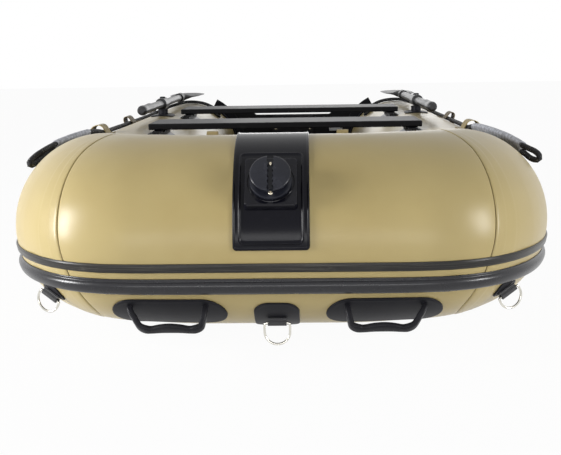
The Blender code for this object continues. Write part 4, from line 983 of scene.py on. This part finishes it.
def cleatHead():
    rim, top, wide, under = cleat["rim"], cleat["top"], cleat["headRadius"], cleat["underside"]
    foot, stem, footTop = cleat["footRadius"], cleat["stemRadius"], cleat["footTop"]
    domeShare, domeFoot = 0.925, rim + 0.0003
    rows = [(foot - 0.0003, 0.0003), (foot, 0.0007), (foot, footTop - 0.0016), (foot - 0.0006, footTop - 0.0005),
            (foot - 0.0020, footTop), (stem + 0.0016, footTop), (stem + 0.0003, footTop + 0.0008),
            (stem, footTop + 0.0022), (stem, under - 0.0018), (stem + 0.0006, under - 0.0005), (stem + 0.0020, under),
            (wide * 0.86, under + 0.0001), (wide * 0.90, under + 0.0008), (wide - 0.0006, rim - 0.0062),
            (wide, rim - 0.0050), (wide, rim - 0.0026), (wide - 0.0005, rim - 0.0012), (wide - 0.0014, rim - 0.0003),
            (wide * domeShare, domeFoot)]
    rows += [(wide * share, domeFoot + (top - domeFoot) * (1 - (share / domeShare) ** 2))
             for share in (0.90, 0.85, 0.78, 0.70, 0.60, 0.48, 0.34, 0.18, 0.06)]
    head = turnedPiece("cleatHead", rows, 96)
    carry(head, Matrix.Identity(4))
    deselectAll()
    count = 2 * cleat["teeth"] + 2
    bpy.ops.mesh.primitive_grid_add(x_subdivisions=1, y_subdivisions=count, size=1)
    slot = bpy.context.object
    pitch, run, half = cleat["toothRun"] / cleat["teeth"] / 2, cleat["toothRun"] / 2, cleat["slotWidth"] / 2
    for v in slot.data.vertices:
        row = round((v.co.y + 0.5) * count)
        side = 1 if v.co.x > 0 else -1
        if row in (0, count):
            v.co = (side * half, cleat["slotReach"] * (1 if row else -1), 0)
        else:
            v.co = (side * (half - (cleat["toothDepth"] if row % 2 == 0 else 0)), -run + (row - 1) * pitch, 0)
    bpy.ops.object.mode_set(mode="EDIT")
    bpy.ops.mesh.select_all(action="SELECT")
    bpy.ops.mesh.extrude_region_move(TRANSFORM_OT_translate={"value": (0, 0, cleat["slotTop"])})
    closeEdit()
    tilt = Matrix.Translation((0, 0, top - cleat["slotDepth"])) @ Matrix.Rotation(radians(cleat["slotTilt"]), 4, "X")
    carry(slot, tilt)
    cutAway(head, slot)
    applyModifier(head, "BEVEL", width=cleat["edgeWidth"], segments=2, limit_method="ANGLE", angle_limit=radians(48))
    carry(head, cleatPlace)
    smoothPiece(head)
    settle(head, "hull", "black_plastic", headPlastic, "cleat_head")
    return cleatPlace @ tilt


def capBolt(name, place, spot, radius, high, *nodes):  # a round head with a socket, at a spot on the place
    shares = ((0.97, 0.0), (1.0, 0.08), (1.0, 0.45), (0.95, 0.66), (0.84, 0.84), (0.68, 0.96), (0.56, 1.0),
              (0.50, 0.98), (0.46, 0.88), (0.44, 0.40))
    bolt = turnedPiece(name, [(radius * across, high * up) for across, up in shares], 48)
    smoothPiece(carry(bolt, place @ Matrix.Translation(spot)))
    settle(bolt, "hull", "steel", boltSteel, *nodes)


cleatBlock()
slotFloor = cleatHead()
run, lift, *size = cleat["lowerBolt"]
capBolt("lowerCleatBolt", cleatPlace, (0, run, cleat["footTop"] + lift), *size, "cleat_bolt")
run, lift, *size = cleat["upperBolt"]
capBolt("upperCleatBolt", slotFloor, (0, run, lift), *size)

print("glued pads")


def reliefPad(name, station, angle, halfLength, halfWidth, corner, height, node):
    edges = [0, 0.0002, 0.0005, 0.0010, 0.0016, 0.0024, 0.0034, 0.0044, 0.0054, 0.0064, 0.0085, 0.0115]
    edges += between(0.0115, halfWidth - 0.001, 0.006)[1:]
    length, first = 2 * halfLength, 0.00004
    turns = [first] + [corner * (1 - cos(pi / 2 * k / 12)) for k in range(1, 13)]
    inner = between(turns[-1], length - turns[-1], 0.007)[1:-1]

    def place(u, v, high):
        turned = angle + degrees(v / tubeRadius)
        return onSkin(stationAlong(station, turned, u) if abs(u) > 1e-6 else station, turned, high)

    rows, maps = [], []
    for off in turns + inner + [length - turn for turn in reversed(turns)]:
        u = off - halfLength
        across, back = padRow(off, length, halfWidth, corner, edges)
        top = [place(u, v, hull["seat"] + height(-roundedBox(u, v, halfLength, halfWidth, corner))) for v in across]
        rows.append(top + [place(u, v, hull["seat"]) for v in back])
        maps.append([(u, v) for v in across + back + back[-1:]])
    settle(surface(name, rows, maps, smooth=55.0), "hull", "black_rubber", padRubber, node)


def padHeight(thickness, reach, ridgePlace, ridgeHalf, ridgeHeight):  # a round edge and a fine ridge inside it
    def height(inside):
        share = min(max(inside / reach, 0.0), 1.0)
        flat = (thickness - ridgeHeight) * (0.12 + 0.88 * sqrt(share * (2 - share)))
        return flat + ridge(inside - ridgePlace, ridgeHalf, ridgeHeight)

    return height


handle = {"run": 0.2175, "drop": 0.1640, "padHalf": (0.118, 0.0485), "padThickness": 0.0035, "gripDrop": 0.1361,
          "padEdge": (0.0016, 0.0050, 0.0022, 0.0004), "halfSpan": 0.0760, "reach": 0.040, "lean": 0.008,
          "halfThickness": 0.006, "halfWidth": 0.0105, "footHalfWidth": 0.0055, "footGap": 0.0003, "rake": 0.014,
          "wave": 0.0035, "sides": 28, "square": 0.62, "around": 3.2, "fineness": 6,
          # along, out, swell, rake and wave shares, from a foot to the middle
          "rows": ((1, 0, 0, 0, 0), (1, .08, 0, 0, 0), (.96, .34, .3, .2, 0), (.88, .66, .6, .6, 0),
                   (.80, .90, .9, .9, 0), (.66, 1.02, 1, 1, 0), (.50, 1.02, 1, 1, -1), (.24, 1, 1, 1, .3),
                   (0, 1, 1, 1, 1))}


def carryHandle(side, sign):
    angle = -degrees(handle["drop"] / tubeRadius)
    middle = stationAlong(0.0, angle, handle["run"])
    reliefPad(side + "HandlePad", sign * middle, angle, *handle["padHalf"], handle["padHalf"][1],
              padHeight(handle["padThickness"], *handle["padEdge"]), "handle_pad_" + side)
    gripAngle = -degrees(handle["gripDrop"] / tubeRadius)
    foot = hull["seat"] + handle["padThickness"] + handle["footGap"]
    half = handle["rows"]
    table = [(-row[0], *row[1:]) for row in half[:-1]] + list(reversed(half))
    fine = []
    for k in range(len(table) - 1):
        a, b, c, d = table[max(k - 1, 0)], table[k], table[k + 1], table[min(k + 2, len(table) - 1)]
        for n in range(handle["fineness"]):
            fine.append([curveBetween(*four, n / handle["fineness"]) for four in zip(a, b, c, d)])
    fine.append(list(table[-1]))
    points, sizes = [], []
    for along, out, swell, drop, wave in fine:
        extra = handle["wave"] * wave / 2
        turned = gripAngle - degrees((handle["rake"] * drop - extra) / tubeRadius)
        run = handle["run"] + along * handle["halfSpan"] - handle["lean"] * drop
        points.append(onSkin(sign * stationAlong(0.0, gripAngle, run), turned, foot + max(out, 0.0) * handle["reach"]))
        wide = handle["footHalfWidth"] + (handle["halfWidth"] - handle["footHalfWidth"]) * swell
        sizes.append((handle["halfThickness"], wide + extra))
    frameAt = skinMatrix(sign * stationAlong(0.0, gripAngle, handle["run"]), gripAngle, 0)
    up = (frameAt.to_3x3() @ Vector((0, 1, 0))).normalized()
    sides = handle["sides"]
    outline = [[abs(at) ** handle["square"] * (1 if at > 0 else -1) for at in spot] for spot in circle(sides)]
    rows, maps, run = [], [], 0.0
    for k, (point, (thick, tall)) in enumerate(zip(points, sizes)):
        ahead = (points[min(k + 1, len(points) - 1)] - points[max(k - 1, 0)]).normalized()
        across = ahead.cross(up).normalized()
        over = across.cross(ahead)
        run += (point - points[k - 1]).length if k else 0
        rows.append([point + across * thick * x + over * tall * z for x, z in outline])
        maps.append([(run, (thick + tall) * handle["around"] * j / sides) for j in range(sides + 1)])
    grip = surface(side + "HandleGrip", rows, maps, smooth=50.0)
    settle(grip, "hull", "black_rubber", gripRubber, "handle_grip_" + side)


for side, sign in boatSides:
    carryHandle(side, sign)

print("tow rings")
towRing = {"padThickness": 0.003, "wire": 0.0025, "halfWidth": 0.026, "strapHalf": 0.019, "strapThickness": 0.0030,
           "strapFoot": 0.0105, "holeRadius": 0.0031, "wall": 0.004, "barShare": 0.8, "shoulderShare": 0.96,
           "bowDrop": 0.190, "sideRun": 0.500, "sideGap": 0.005, "sideTwist": 30.0,
           "padEdge": (0.0015, 0.0040, 0.0018, 0.0003), "neckShare": 0.93, "nearest": 0.0006,
           # reach of the ring, half length, half width and corner of the pad
           "bowSize": (0.045, 0.046, 0.062, 0.030), "sideSize": (0.036, 0.032, 0.020, 0.010)}
sideRingDrop = bumper["drop"] - bumper["climb"] + bumper["halfWidth"] + towRing["sideGap"] + towRing["sideSize"][2]
sideRingAngle = -degrees(sideRingDrop / tubeRadius)
sideRingStation = stationAlong(0.0, sideRingAngle, towRing["sideRun"])


def ribbon(name, place, path, half, thickness):  # a flat strap along a line of height over run
    shares = (-1, -0.985, -0.93, -0.6, -0.2, 0.2, 0.6, 0.93, 0.985, 1)
    rows, maps, run = [], [], 0.0
    for k, (a, z) in enumerate(path):
        a0, z0 = path[max(k - 1, 0)]
        a1, z1 = path[min(k + 1, len(path) - 1)]
        size = hypot(a1 - a0, z1 - z0)
        na, nz = -(z1 - z0) / size, (a1 - a0) / size
        if k:
            run += hypot(a - a0, z - z0)
        around = [(s, 1) for s in shares] + [(s, -1) for s in reversed(shares)]
        row = []
        for s, face in around:
            thick = face * thickness / 2 * (0.55 if abs(s) == 1 else 1.0)
            row.append(place(s * half, a + na * thick, z + nz * thick))
        rows.append(row)
        maps.append([(run, s * half) for s, face in around + around[:1]])
    return surface(name, rows, maps, smooth=50.0)


def towRingSet(side, station, angle, twist, reach, *padSize):
    reliefPad(side + "RingPad", station, angle, *padSize, padHeight(towRing["padThickness"], *towRing["padEdge"]),
              "ring_pad_" + side)
    ground = 2 * hull["seat"] + towRing["padThickness"]
    at = skinMatrix(station, angle, ground) @ Matrix.Rotation(radians(twist), 4, "Z")
    pivot = towRing["wall"] + towRing["holeRadius"]
    thick, inner = towRing["strapThickness"], towRing["holeRadius"]
    middle = inner + thick / 2 + 0.0001
    path = rounded([(-towRing["strapFoot"], thick / 2), (-middle * 1.35, thick / 2), (-middle * 1.12, thick * 0.8),
                    (-middle, pivot * 0.75)], 2)
    path += [(-middle * cos(pi * k / 14), pivot + middle * sin(pi * k / 14)) for k in range(15)]
    path += [(-a, z) for a, z in reversed(path[:-15])]
    strap = ribbon(side + "RingStrap", lambda x, a, z: at @ Vector((x, a, z)), path, towRing["strapHalf"], thick)
    settle(strap, "hull", "black_rubber", blackWebbing, "ring_strap_" + side)

    centre = at @ Vector((0, 0, pivot))
    along = (at.to_3x3() @ Vector((1, 0, 0))).normalized()
    down = Vector((0, 0, -1))
    down = (down - along * down.dot(along)).normalized()
    wide, share, straight = towRing["halfWidth"], towRing["shoulderShare"], towRing["halfWidth"] * towRing["barShare"]
    drop = reach * (1 - share)
    corner = rounded([(straight, 0), (towRing["neckShare"] * wide, 0.0006), (share * wide + 0.0004, drop + 0.0006),
                      (wide, drop + 0.006)], 2)
    line = [(straight * (k / 4 - 1), 0) for k in range(8)] + corner
    line += [(wide * cos(pi * k / 24), reach - wide + wide * sin(pi * k / 24)) for k in range(25)]
    line += [(-x, z) for x, z in reversed(corner)]
    clean = [line[0]]
    for spot in line[1:]:
        if hypot(spot[0] - clean[-1][0], spot[1] - clean[-1][1]) > towRing["nearest"]:
            clean.append(spot)
    if hypot(clean[-1][0] - clean[0][0], clean[-1][1] - clean[0][1]) < towRing["nearest"]:
        clean.pop()
    ring = sweep(side + "TowRing", [centre + along * x + down * z for x, z in clean], towRing["wire"], 16, closed=True)
    settle(ring, "tow_ring_" + side, "steel", ringSteel, "tow_ring_" + side)


towRingSet("bow", 0.0, -degrees(towRing["bowDrop"] / tubeRadius), 0.0, *towRing["bowSize"])
for side, sign in boatSides:
    towRingSet(side, sign * sideRingStation, sideRingAngle, sign * towRing["sideTwist"], *towRing["sideSize"])

print("grab lines")
grabLine = {"radius": 0.007, "lift": 0.0005, "strandGap": 0.0008, "step": 0.008, "fineness": 20,
            # station along the tube and angle round it
            "aft": ((2.690, 126), (2.680, 108), (2.655, 88), (2.600, 70), (2.45, 64), (2.25, 63), (2.05, 62),
                    (1.80, 63), (1.55, 65), (1.35, 68), (1.20, 70.8)),
            "eye": ((1.080, 71.8), (1.000, 71.4), (0.950, 70.0), (0.900, 67.6), (0.850, 64.2), (0.800, 59.8),
                    (0.750, 55.2), (0.700, 50.8), (0.665, 47.6)),
            # the same, and the height over the line's seat
            "tip": {"port": ((0.645, 43.4, 0.001), (0.630, 40.0, 0.003), (0.618, 37.4, 0.0095), (0.613, 36.8, 0.0170),
                             (0.616, 38.8, 0.0220), (0.628, 41.8, 0.0205), (0.645, 45.0, 0.0155)),
                    "starboard": ((0.645, 43.8, 0.0005), (0.622, 40.4, 0.002), (0.608, 38.6, 0.0062),
                                  (0.610, 39.4, 0.0116), (0.626, 42.0, 0.0132), (0.645, 45.2, 0.0130))},
            "stackTurn": 50.0, "stackFrom": (0.960, 1.060),
            "wrap": {"port": (0.660, 0.990), "starboard": (0.735, 0.930)}, "wrapRadius": (0.0083, 0.0090),
            "wrapStep": 0.005, "wrapSides": 32, "wrapFlat": 0.008,
            "wrapEnd": ((0.0, 0.86), (0.0015, 0.95), (0.004, 1.0)),
            # depth of the tape's creases, and how close they lie along and round it
            "creases": ((0.00050, 90, 2.6), (0.00030, 260, 5))}
ropeSeat = hull["seat"] + grabLine["lift"] + grabLine["radius"]
strandApart = 2 * grabLine["radius"] + grabLine["strandGap"]


def smoothLine(spots, step):
    spots = [spots[0] * 2 - spots[1], *spots, spots[-1] * 2 - spots[-2]]
    fine = []
    for k in range(1, len(spots) - 2):
        a, b, c, d = spots[k - 1:k + 3]
        fine += [curveBetween(a, b, c, d, n / grabLine["fineness"]) for n in range(grabLine["fineness"])]
    fine.append(spots[-2])
    total = sum((q - p).length for p, q in zip(fine, fine[1:]))
    count = max(int(total / step), 2)
    points, run, target = [fine[0]], 0.0, total / count
    for p, q in zip(fine, fine[1:]):
        length = (q - p).length
        while run + length >= target * len(points) and len(points) < count:
            points.append(p.lerp(q, (target * len(points) - run) / length))
        run += length
    points.append(fine[-1])
    return points, total


def strandTurn(station):  # how far the second strand climbs over the first
    return radians(grabLine["stackTurn"]) * (1 - smoothShare(station, *grabLine["stackFrom"]))


def crossing(points, spot, along):  # where a line of points passes a plane
    for p, q in zip(points, points[1:]):
        a, b = (p - spot).dot(along), (q - spot).dot(along)
        if a * b <= 0 and (p - spot).length < 0.06:
            return p.lerp(q, a / (a - b))


def grabRopeOn(side, sign):
    half, tip = degrees(strandApart / tubeRadius) / 2, grabLine["tip"][side]
    spots = [onSkin(sign * s, a - half, ropeSeat) for s, a in grabLine["aft"]]
    spots += [onSkin(sign * s, a - half * cos(strandTurn(s)), ropeSeat) for s, a in grabLine["eye"]]
    spots += [onSkin(sign * s, a, ropeSeat + h) for s, a, h in tip]
    spots += [onSkin(sign * s, a + half * cos(strandTurn(s)), ropeSeat + strandApart * sin(strandTurn(s)))
              for s, a in reversed(grabLine["eye"])]
    points, total = smoothLine(spots, grabLine["step"])
    rope = sweep(side + "GrabLine", points, grabLine["radius"], 16)
    settle(rope, "hull", "rope", grabRope, "lifeline_" + side)
    tuple(points[0])
    [tuple(p) for p in points]
    print(side, "grab line", round(total, 3), "m")
    outermost = onSkin(sign * tip[3][0], tip[3][1], ropeSeat)
    turning = min(range(len(points)), key=lambda k: (points[k] - outermost).length)
    return points[:turning], points[turning:]


def tapeOn(side, sign, strands):  # silver tape round both strands of the eye, with fine creases on its outer half
    first, last = grabLine["wrap"][side]
    low, high = grabLine["wrapRadius"]
    length, flat, ends, sides = last - first, grabLine["wrapFlat"], grabLine["wrapEnd"], grabLine["wrapSides"]
    places = [*ends] + [(run, 1.0) for run in between(flat, length - flat, grabLine["wrapStep"])]
    places += [(length - run, size) for run, size in reversed(ends)]
    rows, maps, centres = [], [], []
    for place, size in places:
        s = first + place
        turn = strandTurn(s)
        at = skinMatrix(sign * s, curveThrough(grabLine["eye"][::-1], s), ropeSeat)
        along = at.to_3x3() @ Vector((1, 0, 0))
        under, over = (crossing(strand, at.translation, along) for strand in strands)
        across = (over - under).normalized()
        at = Matrix((along, across, along.cross(across))).transposed().to_4x4()
        at.translation = (under + over) / 2
        row = []
        for c, t in circle(sides):
            (deep, near, tight), (fineDeep, fineNear, fineTight) = grabLine["creases"]
            crease = deep * noise.noise(Vector((s * near, c * tight, t * tight)))
            crease += fineDeep * noise.noise(Vector((s * fineNear, c * fineTight, t * fineTight + sign)))
            up = c * sin(turn) + t * cos(turn)
            radius = (low + (high - low) * (1 + up) / 2) * size + (crease if up > 0 else 0)
            row.append(at @ Vector((0, (over - under).length / 2 * min(max(3 * c, -1), 1) + radius * c, radius * t)))
        rows.append(row)
        centres.append(at.translation.copy())
        run = sum((q - p).length for p, q in zip(centres, centres[1:]))
        maps.append([(run, k / sides) for k in range(sides + 1)])
    settle(surface(side + "EyeWrapTape", rows, maps, smooth=60.0), "hull", "rope", wrapTape)


for side, sign in boatSides:
    tapeOn(side, sign, grabRopeOn(side, sign))


def clothLoop(name, station, angle, values, material, *nodes):
    half, foot, high, thick = values["half"], values["foot"], values["high"], values["thickness"]
    bend = values["bend"]
    leg = [(-half - foot, thick / 2), (-half - bend, thick / 2), (-half, bend),
           (-half * values["crown"], high - thick / 2)]
    path = rounded(leg + [(-a, z) for a, z in reversed(leg)])
    path = [(a + values["lean"] * smoothShare(z, bend, high), z) for a, z in path]

    def place(x, a, z):
        return onSkin(station + x, angle + degrees(a / tubeRadius), hull["seat"] + z)

    settle(ribbon(name, place, path, values["width"] / 2, thick), "hull", "tan_fabric", material, *nodes)


ropeLoop = {"half": 0.013, "foot": 0.022, "high": 0.034, "thickness": 0.0022, "crown": 0.6, "width": 0.070,
            "lean": 0.0, "bend": 0.004}
frontLoop = {**ropeLoop, "half": 0.0175, "foot": 0.016, "crown": 0.86, "lean": -0.003}
tabLoop = {**ropeLoop, "half": 0.008, "foot": 0.012, "high": 0.017, "thickness": 0.0016, "crown": 0.7, "width": 0.026}
# name, station along the tube, angle round it, shape, cloth and the solid it stands for
loopKinds = (("FrontLoop", 1.080, 71.8, frontLoop, tanStrap, "front_loop_"),
             # the middle and rear loops take the tan strap cloth painted darker, as painted shade
             ("MiddleLoop", 1.72, 61.3, ropeLoop, paintedShadeTanStrap, "middle_loop_"),
             ("RearLoop", 2.36, 61.4, ropeLoop, paintedShadeTanStrap, "rear_loop_"),
             ("BowTab", 0.142, 112.0, tabLoop, tanStrap, None))
for side, sign in boatSides:
    for kind, station, angle, values, cloth, node in loopKinds:
        clothLoop(side + kind, sign * station, angle, values, cloth, *([node + side] if node else []))

print("transom fittings")
blank = {"x": 0.200, "z": 0.273, "halfX": 0.031, "halfZ": 0.013, "thickness": 0.0016, "gap": 0.0003, "corner": 0.004,
         "edge": (0.0004, 0.0003), "screwInset": 0.006, "screwSize": (0.0028, 0.0014)}
padScrews = {"x": 0.080, "z": 0.272, "gap": 0.0001, "size": (0.0060, 0.0030)}


def blankPlate():
    x, z, halfX, halfZ, thick, gap = (blank[key] for key in ("x", "z", "halfX", "halfZ", "thickness", "gap"))
    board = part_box("transom_board")[0].y
    inset, step = blank["edge"]
    piece = newBox("blankTransomPlate", (x, board - gap - thick / 2, z), (2 * halfX, thick, 2 * halfZ))
    pick(piece, "EDGE", lambda middle, edge: abs(edge.verts[0].co.y - edge.verts[1].co.y) > thick / 2)
    bpy.ops.mesh.bevel(offset=blank["corner"], segments=5, affect="EDGES")
    pick(piece, "FACE", lambda middle, face: face.normal.y < -0.9)
    bpy.ops.mesh.inset(thickness=inset)
    bpy.ops.transform.translate(value=(0, -step, 0))
    bpy.ops.object.mode_set(mode="OBJECT")
    smoothPiece(piece)
    settle(piece, "hull", "aluminium", plateAluminium)
    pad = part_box("motor_pad_inner")[0].y
    screws = (("plate", x, halfX - blank["screwInset"], board - gap - thick - step, z, blank["screwSize"]),
              ("pad", 0.0, padScrews["x"], pad - padScrews["gap"], padScrews["z"], padScrews["size"]))
    for name, middle, apart, y, up, size in screws:
        for side, sign in (("Left", -1), ("Right", 1)):
            # turned so that the head faces the bow: across, height and depth
            capBolt(name + "Screw" + side, Matrix.Rotation(pi / 2, 4, "X"), (middle + sign * apart, up, -y), *size)


blankPlate()

print("finishes of the kept pieces")
both = [side for side, sign in boatSides]
keptFinishes = (
    (benchPaint, ["front_bench", "rear_bench", "transom_board"]),
    (floorPaint, ["floor_panel_front", "floor_panel_middle", "floor_panel_rear"]),
    (mouldedPlastic, ["bow_valve", "port_valve", "starboard_valve", "motor_pad_inner", "motor_pad_outer"]
     + [place + "_" + kind + "_" + side for place in ("front", "rear") for kind in ("clip", "track") for side in both]),
    (padRubber, ["rowlock_" + side for side in both] + ["transom_bracket_" + side for side in both]),
    (shaftAluminium, ["oar_" + side for side in both]),
    (bladePlastic, ["oar_blade_" + side for side in both]))
for material, names in keptFinishes:
    for name in names:
        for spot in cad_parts[name].material_slots:
            spot.material = material
